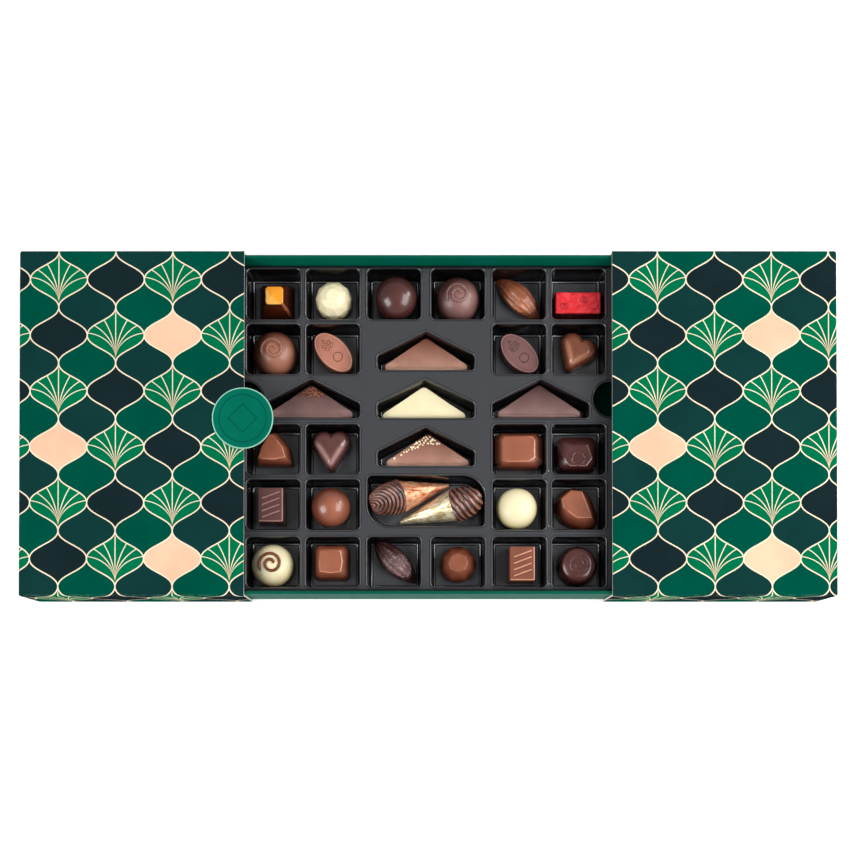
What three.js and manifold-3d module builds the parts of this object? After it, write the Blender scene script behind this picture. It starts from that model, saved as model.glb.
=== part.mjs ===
// An open gift box of pralines: two printed sleeves drawn apart over one tray.
// Millimetres, X along the sleeves, Y towards the back, Z up, origin on the table under the middle.

import * as THREE from 'three';
import { mergeVertices } from 'three/addons/utils/BufferGeometryUtils.js';
import Module from 'manifold-3d';

const wasm = await Module();
wasm.setup();

// Sleeves of folded board, each open towards the middle
const sleeve = { length: 152.7, depth: 235, height: 38, board: 1.5, fold: 1.8 };
const openGap = 249.6;

// Tray that both sleeves slide over, 0.3 mm clear at the sides
const tray = { length: 301, depth: 231.4, low: 2, rim: 35.4, wall: 2.2, base: 2, corner: 1.2 };

// Round card seal, glued to the left sleeve and half over its edge
const seal = { radius: 20.8, card: 0.8, glue: 0.25, x: -125.6, y: 3, gluedBack: 1.2 };

// Thermoformed insert: one sheet with a cup for each praline
const insert = {
  length: 294, depth: 226.4, top: 24, floor: 6.6, sheet: 0.8, draft: 0.95, shift: -1.3, corner: 3,
};
const columnReach = [-105.4, -64.4, -22.1, 22.1, 64.4, 105.4];
const rowPlace = [93.2, 55.1, 20.9, -14.4, -52.6, -92.4];
const cup = { width: 37.4, depth: 35.4, rimRadius: 3.6, arcSteps: 2 };
const gable = { width: 67.6, depth: 27.6, eaves: 10.4, rimRadius: 3, reach: 79.2 };
const gablePlace = { back: 54.1, middle: 20.9, front: -12.3 };
const coneCup = { width: 81.5, depth: 35.6, tight: 3.5, wide: 15.75, y: -50.1 };
const fingerHole = { radius: 12.6, x: 126.4, y: 20.4, steps: 24 };

// Pralines. "off" is how far one lies from the middle of its cup, "turn" its turn in the cup.
// "steps" climb a body from its foot as [inset of the outline, height, turn in facets].
const orange = {
  off: [0.4, -0.8], width: 24.6, corner: 1.4, steps: [[0.5, 0], [0, 1.2], [3.4, 12], [6.1, 16.4]],
  cap: 12.2, capCorner: 0.9, capWall: 1.1, capPeak: 2.6,
};
const whiteGem = {
  off: [-0.4, -0.6], width: 26.4, sides: 10,
  steps: [[1.4, 0, 0], [0, 4.5, 1], [0.8, 10, 2], [4.2, 14.6, 3], [8.6, 17, 4]],
};
const milkGem = {
  off: [0.2, 0], width: 26.4, sides: 8,
  steps: [[1, 0, 0], [0, 3.2, 0], [0.9, 7.6, 1], [6.6, 14, 2]],
};
const darkBall = { off: [1.3, -1], width: 28.8, height: 24, waist: 12.4, foot: 1.2 };
const milkBall = { off: [-1.8, -1.1], width: 27, height: 24, waist: 11.5, foot: 1.1 };
const whiteDome = { off: [-1.1, -1.2], width: 28.4, height: 18.6, waist: 8, foot: 0.9 };
const darkScroll = { off: [0, -0.3], width: 31.6, height: 19.5, waist: 5.5 };
const milkScroll = { off: [-0.4, -0.3], width: 31.4, height: 19.5, waist: 5.5 };
const whiteScroll = { off: [-1.8, -1], width: 29.4, height: 18.4, waist: 6.5 };
const milkPod = {
  off: [0.7, 2], turn: -0.75, length: 42.5, width: 17.6, height: 13.5, ribs: 10, ribDepth: 0.06,
};
const darkPod = {
  off: [0.4, 2.2], turn: -0.79, length: 42.5, width: 17.8, height: 14, ribs: 10, ribDepth: 0.08,
};
const foilBar = {
  off: [0.4, -4], width: 32.2, depth: 15, corner: 0.8, steps: [[0.5, 0], [0, 0.9], [0, 12.3], [0.7, 13]],
};
const medallion = { width: 34, depth: 20.6, turn: -0.8, steps: [[0.6, 0], [0, 0.8], [0.2, 8.6], [1, 9.6]] };
const milkMedallion = { off: [-0.4, 0.5] };
const darkMedallion = { off: [1, -0.2] };
const milkHeart = {
  off: [-0.1, 0.5], turn: -0.44, width: 28, depth: 26.6,
  steps: [[1.2, 0], [0, 2.5], [0.7, 7.5], [3, 11.6], [6.2, 13.8]],
};
const darkHeart = {
  off: [-1.9, 1.2], width: 28, depth: 29, steps: [[1.2, 0], [0, 2.5], [0.7, 8], [3, 12.4], [6.2, 14.6]],
};
const shield = {
  off: [-0.4, 2.2],
  corners: [[-13.3, -11.4], [13.3, -11.4], [11, 1.5], [0, 14], [-11, 1.5]],
  radii: [2, 2, 7, 3, 7],
  steps: [[1, 0], [0, 2], [0.8, 8.5], [3, 13.4]],
};
const brick = {
  off: [0.4, 1.3], width: 34.8, depth: 25.2, cornerX: 3.8, cornerY: 4,
  steps: [[0.8, 0], [0, 1.6], [0.7, 8.4], [4.6, 13]],
};
const darkRing = {
  off: [-0.1, -1.1], width: 30.2, depth: 25, corner: 7,
  steps: [[1.2, 0], [0, 2.4], [1.2, 9], [3.6, 12.6], [7, 14]],
};
const bar = { width: 18.6, depth: 25, corner: 0.8, steps: [[0.3, 0], [0, 0.8], [0.7, 15.5], [1, 16]] };
const darkBar = { off: [-2.2, 0.2] };
const milkBar = { off: [2.2, -0.7] };
const milkTeardrop = {
  off: [-1.6, 0.6], radius: 13.8, tipReach: 20.6, tipAngle: -0.8,
  steps: [[1, 0], [0, 2.2], [1.4, 8.4], [4, 12.8]],
};
const milkSquare = {
  off: [-1.7, 1.2], width: 25.4, corner: 5, steps: [[0.8, 0], [0, 1.6], [1.4, 10], [4.8, 14.6]],
};
const darkRound = {
  off: [0.6, -1.1], width: 28.6, steps: [[0.8, 0], [0, 1.6], [1.4, 9.4], [2.9, 12.6], [5.6, 14]],
};

// Piped spiral that lies on a dome
const spiral = { turns: 1.6, inner: 1.8, outer: 8.4, steps: 15, bead: 1.1, sunk: 0.35, sides: 4 };

// Triangular slabs: the size is that of the sharp triangle, before the corners are rounded
const slab = { width: 66.4, depth: 24, height: 10, tip: 3.4, point: 1.6, edge: 1.5, crown: 0.5 };
const slabPlaces = {
  milk: [0.1, 54.8],
  white: [-1.5, 20.6],
  dark: [gable.reach - 0.3, 22],
  nibs: [-gable.reach - 0.9, 21.8],
  goldNibs: [1.2, -12.4],
};

// Nibs half sunk in a slab, scattered in a patch below its tip or along its left slope
const tipNibs = { count: 13, size: 1.15, start: 4.2, spread: 5.6, margin: 3.4, sink: 0.3, seed: 11 };
const slopeNibs = {
  count: 18, size: 1.2, firstShare: 0.22, lastShare: 0.96, margin: 3, spread: 5, sink: 0.3, seed: 37,
};

// Cones on their sides, each with a piped swirl in its mouth
const cone = { mouth: 11.6, tip: 1.4, clear: 0.03, sides: 18, rings: 4 };
const swirl = {
  radius: 11.9, taper: 0.72, bend: 2.2, sides: 16, ridges: 8, ridgeDepth: 1.1, droop: 0.5, gap: 0.35,
};
const bronzeCone = { at: [14.4, -36.2], turn: Math.PI + 0.28, length: 36.6, swirl: 20 };
const goldCone = { at: [-19.2, -62.4], turn: 0.26, length: 40, swirl: 18 };

// Seeded random numbers for crumbs and nibs
function randomFrom(seed) {
  let state = seed;
  return () => {
    state = (state * 16807) % 2147483647;
    return state / 2147483647;
  };
}

// Solids and how they are joined

function solidOf(geometry) {
  const bare = new THREE.BufferGeometry();
  bare.setAttribute('position', geometry.getAttribute('position').clone());
  if (geometry.index) bare.setIndex(geometry.index.clone());
  const closed = mergeVertices(bare, 1e-4);
  return new wasm.Manifold(new wasm.Mesh({
    numProp: 3,
    vertProperties: new Float32Array(closed.getAttribute('position').array),
    triVerts: new Uint32Array(closed.index.array),
  }));
}

function geometryOf(solid) {
  const mesh = solid.getMesh();
  const geometry = new THREE.BufferGeometry();
  geometry.setAttribute('position', new THREE.BufferAttribute(mesh.vertProperties, mesh.numProp));
  geometry.setIndex(new THREE.BufferAttribute(mesh.triVerts, 1));
  geometry.computeVertexNormals();
  return geometry;
}

function join(first, others) {
  return others.reduce((whole, other) => whole.add(other), first);
}

function cut(first, others) {
  return others.reduce((whole, other) => whole.subtract(other), first);
}

// An outline pushed along an axis; it lies in XY, YZ or ZX for the axes z, x and y
function prism(outline, low, high, axis = 'z') {
  const geometry = new THREE.ExtrudeGeometry(new THREE.Shape(outline), {
    depth: high - low,
    bevelEnabled: false,
  });
  geometry.translate(0, 0, low);
  const x = new THREE.Vector3(1, 0, 0);
  const y = new THREE.Vector3(0, 1, 0);
  const z = new THREE.Vector3(0, 0, 1);
  const basis = { z: [x, y, z], x: [y, z, x], y: [z, x, y] }[axis];
  geometry.applyMatrix4(new THREE.Matrix4().makeBasis(...basis));
  return solidOf(geometry);
}

// Rings of equal count, each joined to the next, closed by a fan at either end
function loft(rings, endPoint) {
  const count = rings[0].length;
  const points = rings.flat();
  const middle = (ring) => ring
    .reduce((sum, point) => sum.add(point), new THREE.Vector3())
    .divideScalar(count);
  points.push(middle(rings[0]), endPoint ?? middle(rings.at(-1)));
  const faces = [];
  for (let level = 0; level < rings.length - 1; level += 1) {
    for (let i = 0; i < count; i += 1) {
      const next = (i + 1) % count;
      const a = level * count + i;
      const b = level * count + next;
      faces.push(a, b, a + count, b, b + count, a + count);
    }
  }
  const last = (rings.length - 1) * count;
  for (let i = 0; i < count; i += 1) {
    const next = (i + 1) % count;
    faces.push(points.length - 2, next, i);
    faces.push(points.length - 1, last + i, last + next);
  }
  const geometry = new THREE.BufferGeometry().setFromPoints(points);
  geometry.setIndex(faces);
  return solidOf(geometry);
}

// Outlines, anticlockwise round their own middle

function roundedPolygon(corners, radii, arcSteps = 3) {
  const points = [];
  corners.forEach((corner, i) => {
    const here = new THREE.Vector2(...corner);
    const radius = Array.isArray(radii) ? radii[i] : radii;
    if (radius === 0) {
      points.push(here);
      return;
    }
    const back = new THREE.Vector2(...corners.at(i - 1)).sub(here).normalize();
    const ahead = new THREE.Vector2(...corners[(i + 1) % corners.length]).sub(here).normalize();
    const half = Math.acos(back.dot(ahead)) / 2;
    const inward = back.clone().add(ahead).normalize();
    const centre = here.clone().addScaledVector(inward, radius / Math.sin(half));
    const start = here.clone().addScaledVector(back, radius / Math.tan(half));
    for (let step = 0; step <= arcSteps; step += 1) {
      const turn = (Math.PI - 2 * half) * step / arcSteps;
      points.push(start.clone().rotateAround(centre, turn));
    }
  });
  return points;
}

function rectangle(width, depth, radius = 0, arcSteps = 3) {
  const x = width / 2;
  const y = depth / 2;
  return roundedPolygon([[-x, -y], [x, -y], [x, y], [-x, y]], radius, arcSteps);
}

function ellipse(width, depth, count) {
  return Array.from({ length: count }, (_, i) => {
    const angle = 2 * Math.PI * i / count;
    return new THREE.Vector2(width / 2 * Math.cos(angle), depth / 2 * Math.sin(angle));
  });
}

// Two round lobes and a blunt tip, joined by straight flanks
const heartLobe = 0.285;
const heartTip = 0.13;

function heart(width, depth, lobeSteps = 9, tipSteps = 4) {
  const lobe = heartLobe * width;
  const tip = heartTip * width;
  const x = width / 2 - lobe;
  const y = depth / 2 - lobe;
  const tipY = tip - depth / 2;
  const flank = Math.atan2(y - tipY, x) - Math.acos((tip - lobe) / Math.hypot(x, y - tipY));
  const notch = Math.acos(-x / lobe);
  const arc = (centreX, centreY, radius, from, to, count) => Array.from({ length: count + 1 }, (_, i) => {
    const angle = from + (to - from) * i / count;
    return new THREE.Vector2(centreX + radius * Math.cos(angle), centreY + radius * Math.sin(angle));
  });
  const right = arc(x, y, lobe, notch, flank, lobeSteps);
  const bottom = arc(0, tipY, tip, flank, -Math.PI - flank, tipSteps);
  const left = arc(-x, y, lobe, -Math.PI - flank, -Math.PI - notch, lobeSteps).slice(0, -1);
  return [...right, ...bottom, ...left].reverse();
}

function teardrop(radius, tipReach, tipAngle, count) {
  return Array.from({ length: count }, (_, i) => {
    const angle = tipAngle + 2 * Math.PI * i / count;
    const towardsTip = Math.max(0, Math.cos(angle - tipAngle));
    const reach = radius + (tipReach - radius) * towardsTip ** 5;
    return new THREE.Vector2(reach * Math.cos(angle), reach * Math.sin(angle));
  });
}

// A moulded body: one outline at several heights, each step [inset, height, turn of the ring]
function moulded(outline, steps, peak = 0) {
  const halfWidth = Math.max(...outline.map((point) => Math.abs(point.x)));
  const halfDepth = Math.max(...outline.map((point) => Math.abs(point.y)));
  const centre = new THREE.Vector2();
  const rings = steps.map(([inset, height, turn = 0]) => outline.map((point) => {
    const placed = point.clone();
    placed.x *= 1 - inset / halfWidth;
    placed.y *= 1 - inset / halfDepth;
    placed.rotateAround(centre, turn);
    return new THREE.Vector3(placed.x, placed.y, height);
  }));
  return loft(rings, peak > 0 ? new THREE.Vector3(0, 0, peak) : undefined);
}

// A round body that swells to its waist and closes over the top
function domed({ width, height, waist, foot = 0.6, sides = 18, levels = 7 }) {
  const radius = width / 2;
  const steps = [];
  for (let level = 0; level < levels; level += 1) {
    const angle = -foot + (Math.PI / 2 + foot) * level / levels;
    const rise = angle < 0 ? waist * (1 + Math.sin(angle) / Math.sin(foot))
      : waist + (height - waist) * Math.sin(angle);
    steps.push([radius * (1 - Math.cos(angle)), rise]);
  }
  return moulded(ellipse(width, width, sides), steps, height);
}

function domeSurface({ width, height, waist }, reach) {
  return waist + (height - waist) * Math.sqrt(Math.max(0, 1 - (2 * reach / width) ** 2));
}

// A round bead along a path of points, its ends pointed
function bead(path, radius, sides) {
  const up = new THREE.Vector3(0, 0, 1);
  const rings = path.map((point, i) => {
    const ahead = path[Math.min(i + 1, path.length - 1)];
    const behind = path[Math.max(i - 1, 0)];
    const along = ahead.clone().sub(behind).normalize();
    const side = new THREE.Vector3().crossVectors(up, along).normalize();
    const over = new THREE.Vector3().crossVectors(along, side);
    const thick = i === 0 || i === path.length - 1 ? radius * 0.5 : radius;
    return Array.from({ length: sides }, (_, k) => {
      const angle = 2 * Math.PI * k / sides;
      return point.clone()
        .addScaledVector(side, thick * Math.cos(angle))
        .addScaledVector(over, thick * Math.sin(angle));
    });
  });
  return loft(rings);
}

function spiralOn(dome) {
  const path = [];
  for (let step = 0; step <= spiral.steps; step += 1) {
    const share = step / spiral.steps;
    const reach = spiral.inner + (spiral.outer - spiral.inner) * share;
    const angle = 2 * Math.PI * spiral.turns * share;
    const rise = domeSurface(dome, reach) + spiral.bead - 2 * spiral.sunk;
    path.push(new THREE.Vector3(reach * Math.cos(angle), reach * Math.sin(angle), rise));
  }
  return bead(path, spiral.bead, spiral.sides);
}

// Board parts

const board = new THREE.MeshStandardMaterial({ color: '#0a5c4a', roughness: 0.5 });

function sleeveSolid() {
  const { length, depth, height, board: wall, fold } = sleeve;
  const y = depth / 2;
  const section = rectangle(depth, height, fold).map((p) => new THREE.Vector2(p.x, p.y + height / 2));
  const across = prism(section, 0, length, 'x');
  const plan = roundedPolygon([[0, -y], [length, -y], [length, y], [0, y]], [0, fold, fold, 0]);
  const side = roundedPolygon([[0, 0], [height, 0], [height, length], [0, length]], [0, 0, fold, fold]);
  const outside = across.intersect(prism(plan, 0, height)).intersect(prism(side, -y, y, 'y'));
  const hollow = rectangle(depth - 2 * wall, height - 2 * wall)
    .map((p) => new THREE.Vector2(p.x, p.y + height / 2));
  return outside.subtract(prism(hollow, -wall, length - wall, 'x'));
}

function traySolid() {
  const { length, depth, low, rim, wall, base, corner } = tray;
  const outside = prism(rectangle(length, depth, corner), low, rim);
  const inside = prism(rectangle(length - 2 * wall, depth - 2 * wall), low + base, rim + wall);
  return outside.subtract(inside);
}

// The card stands clear of the sleeve past its edge, by the thickness of the glue
function sealSolid() {
  const { radius, card, glue, gluedBack } = seal;
  const disc = ellipse(2 * radius, 2 * radius, 48);
  const whole = prism(disc, sleeve.height + glue, sleeve.height + glue + card);
  const pad = prism(disc, sleeve.height, sleeve.height + glue + card / 2);
  const keep = prism(rectangle(2 * radius, 2 * radius + 2)
    .map((p) => new THREE.Vector2(p.x - radius - gluedBack, p.y)), 0, 2 * sleeve.height);
  return whole.add(pad.intersect(keep));
}

// Insert with its cups

function gableOutline() {
  const x = gable.width / 2;
  const y = gable.depth / 2;
  return roundedPolygon([[-x, -y], [x, -y], [x, -y + gable.eaves], [0, y], [-x, -y + gable.eaves]],
    gable.rimRadius, 2);
}

function coneCupOutline() {
  const x = coneCup.width / 2;
  const y = coneCup.depth / 2;
  const { tight, wide } = coneCup;
  return roundedPolygon([[-x, -y], [x, -y], [x, y], [-x, y]], [wide, tight, wide, tight], 5);
}

function cupPlaces() {
  const places = [];
  const square = rectangle(cup.width, cup.depth, cup.rimRadius, cup.arcSteps);
  rowPlace.forEach((y, row) => {
    columnReach.forEach((x, column) => {
      const central = column === 2 || column === 3;
      if (row === 2 || (central && row > 0 && row < 5)) return;
      places.push({ outline: square, x, y });
    });
  });
  places.push({ outline: gableOutline(), x: 0, y: gablePlace.back });
  places.push({ outline: gableOutline(), x: 0, y: gablePlace.front });
  [-gable.reach, 0, gable.reach].forEach((x) => {
    places.push({ outline: gableOutline(), x, y: gablePlace.middle });
  });
  places.push({ outline: coneCupOutline(), x: 0, y: coneCup.y });
  return places;
}

function insertSolid() {
  const { length, depth, top, floor, sheet, draft, corner } = insert;
  const table = tray.low + tray.base;
  const rim = top + 1;
  const outline = rectangle(length, depth, corner);
  const inner = rectangle(length - 2 * sheet, depth - 2 * sheet, corner - sheet);
  const shell = prism(outline, table, top).subtract(prism(inner, table - 1, top - sheet));
  const places = cupPlaces();
  const cups = places.map(({ outline: edge, x, y }) => moulded(edge, [
    [draft - sheet, floor - sheet], [-sheet, top - sheet / 2],
  ]).translate([x, y, 0]));
  const hollows = places.map(({ outline: edge, x, y }) => moulded(edge, [
    [draft, floor], [0, top], [0, rim],
  ]).translate([x, y, 0]));
  const hole = ellipse(2 * fingerHole.radius, 2 * fingerHole.radius, fingerHole.steps);
  const holes = [-1, 1].map((end) => prism(hole, top - 2 * sheet, rim)
    .translate([end * fingerHole.x - insert.shift, fingerHole.y, 0]));
  return cut(join(shell, cups), [...hollows, ...holes]);
}

// Pralines

function pod({ length, width, height, ribs, ribDepth, flat = 1.4, sides = 20, levels = 9 }) {
  const rings = [];
  for (let level = 1; level < levels; level += 1) {
    const share = level / levels;
    const swell = Math.sin(Math.PI * share) ** 0.75;
    const middle = height / 2 * (0.25 + 0.75 * swell);
    rings.push(Array.from({ length: sides }, (_, i) => {
      const angle = 2 * Math.PI * i / sides;
      const rib = 1 + ribDepth * Math.cos(ribs * angle) - ribDepth;
      const y = width / 2 * swell * rib * Math.cos(angle);
      const z = Math.max(0, middle - flat + height / 2 * swell * rib * Math.sin(angle));
      return new THREE.Vector3(length * (share - 0.5), y, z);
    }));
  }
  return loft(rings, new THREE.Vector3(length / 2, 0, height / 8));
}

function slabSolid() {
  const { tip, point, height, edge, crown } = slab;
  const x = slab.width / 2;
  const y = slab.depth / 2;
  const outline = roundedPolygon([[-x, -y], [x, -y], [0, y]], [point, point, tip], 3);
  return moulded(outline, [[0.4, 0], [0, 1], [0.3, height - edge], [edge, height]], height + crown);
}

function nibs(places, { size, sink, seed }) {
  const random = randomFrom(seed);
  return places.map(([x, y]) => {
    const grain = new THREE.IcosahedronGeometry(size * (0.75 + 0.5 * random()), 0);
    grain.scale(1, 0.7 + 0.3 * random(), 0.7);
    grain.rotateZ(Math.PI * random());
    grain.translate(x, y, slab.height + sink);
    return solidOf(grain);
  });
}

// The band of nibs grows wider towards the tip
function slopePlaces({ count, firstShare, lastShare, margin, spread, seed }) {
  const random = randomFrom(seed);
  const x = slab.width / 2;
  const y = slab.depth / 2;
  const slope = new THREE.Vector2(x, 2 * y);
  const inward = new THREE.Vector2(slope.y, -slope.x).normalize();
  return Array.from({ length: count }, (_, i) => {
    const share = firstShare + (lastShare - firstShare) * i / (count - 1);
    const place = new THREE.Vector2(-x, -y).addScaledVector(slope, share);
    place.addScaledVector(inward, margin + spread * share * random());
    return [place.x, place.y];
  });
}

function tipPlaces({ count, start, spread, margin, seed }) {
  const random = randomFrom(seed);
  const steepness = slab.width / 2 / slab.depth;
  return Array.from({ length: count }, (_, i) => {
    const drop = start + spread * Math.sqrt(i / count);
    const side = (2 * random() - 1) * (steepness * drop - margin);
    return [side, slab.depth / 2 - drop];
  });
}

function sweptRings(path, sides, radiusAt) {
  return path.map(({ point, climb }, i) => {
    const radius = radiusAt(i / (path.length - 1), i);
    return Array.from({ length: sides }, (_, k) => {
      const angle = 2 * Math.PI * k / sides;
      const side = radius * Math.cos(angle);
      const over = radius * Math.sin(angle);
      return new THREE.Vector3(point.x - over * Math.sin(climb), side, point.z + over * Math.cos(climb));
    });
  });
}

// A cone lies on its side, so its axis climbs by its half angle
function coneClimb(length) {
  return Math.asin((cone.mouth - cone.tip) / length);
}

// The tip is at the origin and the mouth towards +X
function coneSolid(length) {
  const climb = coneClimb(length);
  const foot = cone.tip * Math.cos(climb) + cone.clear;
  const path = Array.from({ length: cone.rings }, (_, i) => {
    const along = length * i / (cone.rings - 1);
    const point = new THREE.Vector3(along * Math.cos(climb), 0, foot + along * Math.sin(climb));
    return { point, climb };
  });
  return loft(sweptRings(path, cone.sides, (share) => cone.tip + (cone.mouth - cone.tip) * share));
}

function swirlSolid(coneLength, length) {
  const climb = coneClimb(coneLength);
  const start = coneLength + swirl.gap;
  const levels = 2 * swirl.ridges + 1;
  const step = length / levels;
  const point = new THREE.Vector3(
    start * Math.cos(climb), 0, cone.tip * Math.cos(climb) + start * Math.sin(climb),
  );
  const path = [];
  for (let level = 0; level <= levels; level += 1) {
    const lean = climb - swirl.droop * level / levels;
    path.push({ point: point.clone(), climb: lean });
    point.x += step * Math.cos(lean);
    point.z += step * Math.sin(lean);
  }
  const rings = sweptRings(path, swirl.sides, (share, i) => {
    const body = swirl.radius * Math.sqrt(1 - swirl.taper * share ** swirl.bend);
    return body - (i % 2 === 0 ? swirl.ridgeDepth : 0);
  });
  return loft(rings);
}

// Finishes and placing

function chocolate(color, roughness = 0.35) {
  return new THREE.MeshStandardMaterial({ color, roughness });
}

const dark = chocolate('#3a1f1a');
const milk = chocolate('#7a4530');
const white = chocolate('#efe2b4');
const bronze = new THREE.MeshStandardMaterial({ color: '#c8713c', roughness: 0.3, metalness: 0.6 });
const gold = new THREE.MeshStandardMaterial({ color: '#b59a55', roughness: 0.3, metalness: 0.6 });
const foil = new THREE.MeshStandardMaterial({ color: '#e3122b', roughness: 0.3, metalness: 0.7 });
const orangeGlaze = chocolate('#f39a1e');
const blackSheet = new THREE.MeshStandardMaterial({ color: '#37373a', roughness: 0.45 });

const box = new THREE.Group();

function addNode(parent, name, solid, material) {
  const mesh = new THREE.Mesh(geometryOf(solid), material.clone());
  mesh.name = name;
  parent.add(mesh);
  return mesh;
}

function addAt(x, y, turn = 0) {
  const group = new THREE.Group();
  group.position.set(x, y, insert.floor);
  group.rotation.z = turn;
  box.add(group);
  return group;
}

// A praline in its cup, columns and rows counted from the back left corner
function inCup(column, row, [dx, dy], turn = 0) {
  return addAt(columnReach[column - 1] + insert.shift + dx, rowPlace[row - 1] + dy, turn);
}

function addBox() {
  const inner = openGap / 2;
  const left = addNode(box, 'left_sleeve', sleeveSolid(), board);
  left.position.x = -inner;
  left.rotation.z = Math.PI;
  const right = addNode(box, 'right_sleeve', sleeveSolid(), board);
  right.position.x = inner;
  addNode(box, 'tray_box', traySolid(), board);
  const disc = addNode(box, 'seal', sealSolid(), board);
  disc.position.set(seal.x, seal.y, 0);
  const cups = addNode(box, 'insert', insertSolid(), blackSheet);
  cups.position.x = insert.shift;
}

function addOrangePraline() {
  const place = inCup(1, 1, orange.off);
  const body = rectangle(orange.width, orange.width, orange.corner, 2);
  addNode(place, 'orange_praline', moulded(body, orange.steps), dark);
  const cap = rectangle(orange.cap, orange.cap, orange.capCorner, 2);
  const capNode = addNode(place, 'orange_cap',
    moulded(cap, [[0, 0], [0, orange.capWall]], orange.capPeak), orangeGlaze);
  capNode.position.z = orange.steps.at(-1)[1];
}

// A cut gem: its rings turn by half a side as they climb
function gemSolid({ width, sides, steps }) {
  const facet = Math.PI / sides;
  const turned = steps.map(([inset, height, facets]) => [inset, height, facets * facet]);
  return moulded(ellipse(width, width, sides), turned);
}

function addRoundPralines() {
  addNode(inCup(2, 1, whiteGem.off), 'white_gem_praline', gemSolid(whiteGem), white);
  addNode(inCup(4, 6, milkGem.off), 'milk_gem_praline', gemSolid(milkGem), milk);
  addNode(inCup(3, 1, darkBall.off), 'dark_ball_praline', domed(darkBall), dark);
  addNode(inCup(2, 5, milkBall.off), 'milk_ball_praline', domed(milkBall), milk);
  addNode(inCup(5, 5, whiteDome.off), 'white_dome_praline', domed(whiteDome), white);
  const scrolled = (dome) => domed(dome).add(spiralOn(dome));
  addNode(inCup(4, 1, darkScroll.off), 'dark_scroll_praline', scrolled(darkScroll), dark);
  addNode(inCup(1, 2, milkScroll.off), 'milk_scroll_praline', scrolled(milkScroll), milk);
  addNode(inCup(1, 6, whiteScroll.off), 'white_scroll_praline', scrolled(whiteScroll), white);
  const round = ellipse(darkRound.width, darkRound.width, 24);
  addNode(inCup(6, 6, darkRound.off), 'dark_round_praline', moulded(round, darkRound.steps), dark);
}

function addPods() {
  addNode(inCup(5, 1, milkPod.off, milkPod.turn), 'milk_pod_praline', pod(milkPod), milk);
  addNode(inCup(3, 6, darkPod.off, darkPod.turn), 'dark_pod_praline', pod(darkPod), dark);
}

function addMedallions() {
  const solid = () => moulded(ellipse(medallion.width, medallion.depth, 24), medallion.steps);
  addNode(inCup(2, 2, milkMedallion.off, medallion.turn), 'milk_medallion', solid(), milk);
  addNode(inCup(5, 2, darkMedallion.off, medallion.turn), 'dark_medallion', solid(), dark);
}

function addHearts() {
  addNode(inCup(6, 2, milkHeart.off, milkHeart.turn), 'milk_heart',
    moulded(heart(milkHeart.width, milkHeart.depth), milkHeart.steps), milk);
  addNode(inCup(2, 4, darkHeart.off), 'dark_heart',
    moulded(heart(darkHeart.width, darkHeart.depth), darkHeart.steps), dark);
}

function brickOutline() {
  const x = brick.width / 2;
  const y = brick.depth / 2;
  const inX = x - brick.cornerX;
  const inY = y - brick.cornerY;
  return roundedPolygon([[-inX, -y], [inX, -y], [x, -inY], [x, inY], [inX, y], [-inX, y],
    [-x, inY], [-x, -inY]], 0);
}

function addAngularPralines() {
  addNode(inCup(6, 1, foilBar.off), 'foil_bar',
    moulded(rectangle(foilBar.width, foilBar.depth, foilBar.corner, 1), foilBar.steps), foil);
  addNode(inCup(1, 4, shield.off), 'milk_shield',
    moulded(roundedPolygon(shield.corners, shield.radii), shield.steps), milk);
  addNode(inCup(5, 4, brick.off), 'milk_brick', moulded(brickOutline(), brick.steps), milk);
  addNode(inCup(6, 4, darkRing.off), 'dark_ring_praline',
    moulded(rectangle(darkRing.width, darkRing.depth, darkRing.corner, 4), darkRing.steps), dark);
  const barSolid = () => moulded(rectangle(bar.width, bar.depth, bar.corner, 1), bar.steps);
  addNode(inCup(1, 5, darkBar.off), 'dark_bar', barSolid(), dark);
  addNode(inCup(5, 6, milkBar.off), 'milk_bar', barSolid(), milk);
  const { radius, tipReach, tipAngle } = milkTeardrop;
  addNode(inCup(6, 5, milkTeardrop.off), 'milk_teardrop',
    moulded(teardrop(radius, tipReach, tipAngle, 16), milkTeardrop.steps), milk);
  addNode(inCup(2, 6, milkSquare.off), 'milk_square',
    moulded(rectangle(milkSquare.width, milkSquare.width, milkSquare.corner, 4), milkSquare.steps), milk);
}

function addSlabs() {
  const at = ([x, y]) => addAt(insert.shift + x, y);
  addNode(at(slabPlaces.milk), 'milk_triangle', slabSolid(), milk);
  addNode(at(slabPlaces.white), 'white_triangle', slabSolid(), white);
  addNode(at(slabPlaces.dark), 'dark_triangle', slabSolid(), dark);
  addNode(at(slabPlaces.nibs), 'nib_triangle',
    join(slabSolid(), nibs(tipPlaces(tipNibs), tipNibs)), dark);
  addNode(at(slabPlaces.goldNibs), 'gold_nib_triangle',
    join(slabSolid(), nibs(slopePlaces(slopeNibs), slopeNibs)), milk);
}

function addCones() {
  const left = addAt(...bronzeCone.at, bronzeCone.turn);
  addNode(left, 'bronze_cone', coneSolid(bronzeCone.length), bronze);
  addNode(left, 'left_swirl', swirlSolid(bronzeCone.length, bronzeCone.swirl), milk);
  const right = addAt(...goldCone.at, goldCone.turn);
  addNode(right, 'gold_cone', coneSolid(goldCone.length), gold);
  addNode(right, 'right_swirl', swirlSolid(goldCone.length, goldCone.swirl), milk);
}

addBox();
addOrangePraline();
addRoundPralines();
addPods();
addMedallions();
addHearts();
addAngularPralines();
addSlabs();
addCones();

export default box;
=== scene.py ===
# An open box of chocolate pralines: two printed sleeves drawn apart over a green tray.
import bpy
import math
import random
from mathutils import Euler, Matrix, Vector, geometry, noise


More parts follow.
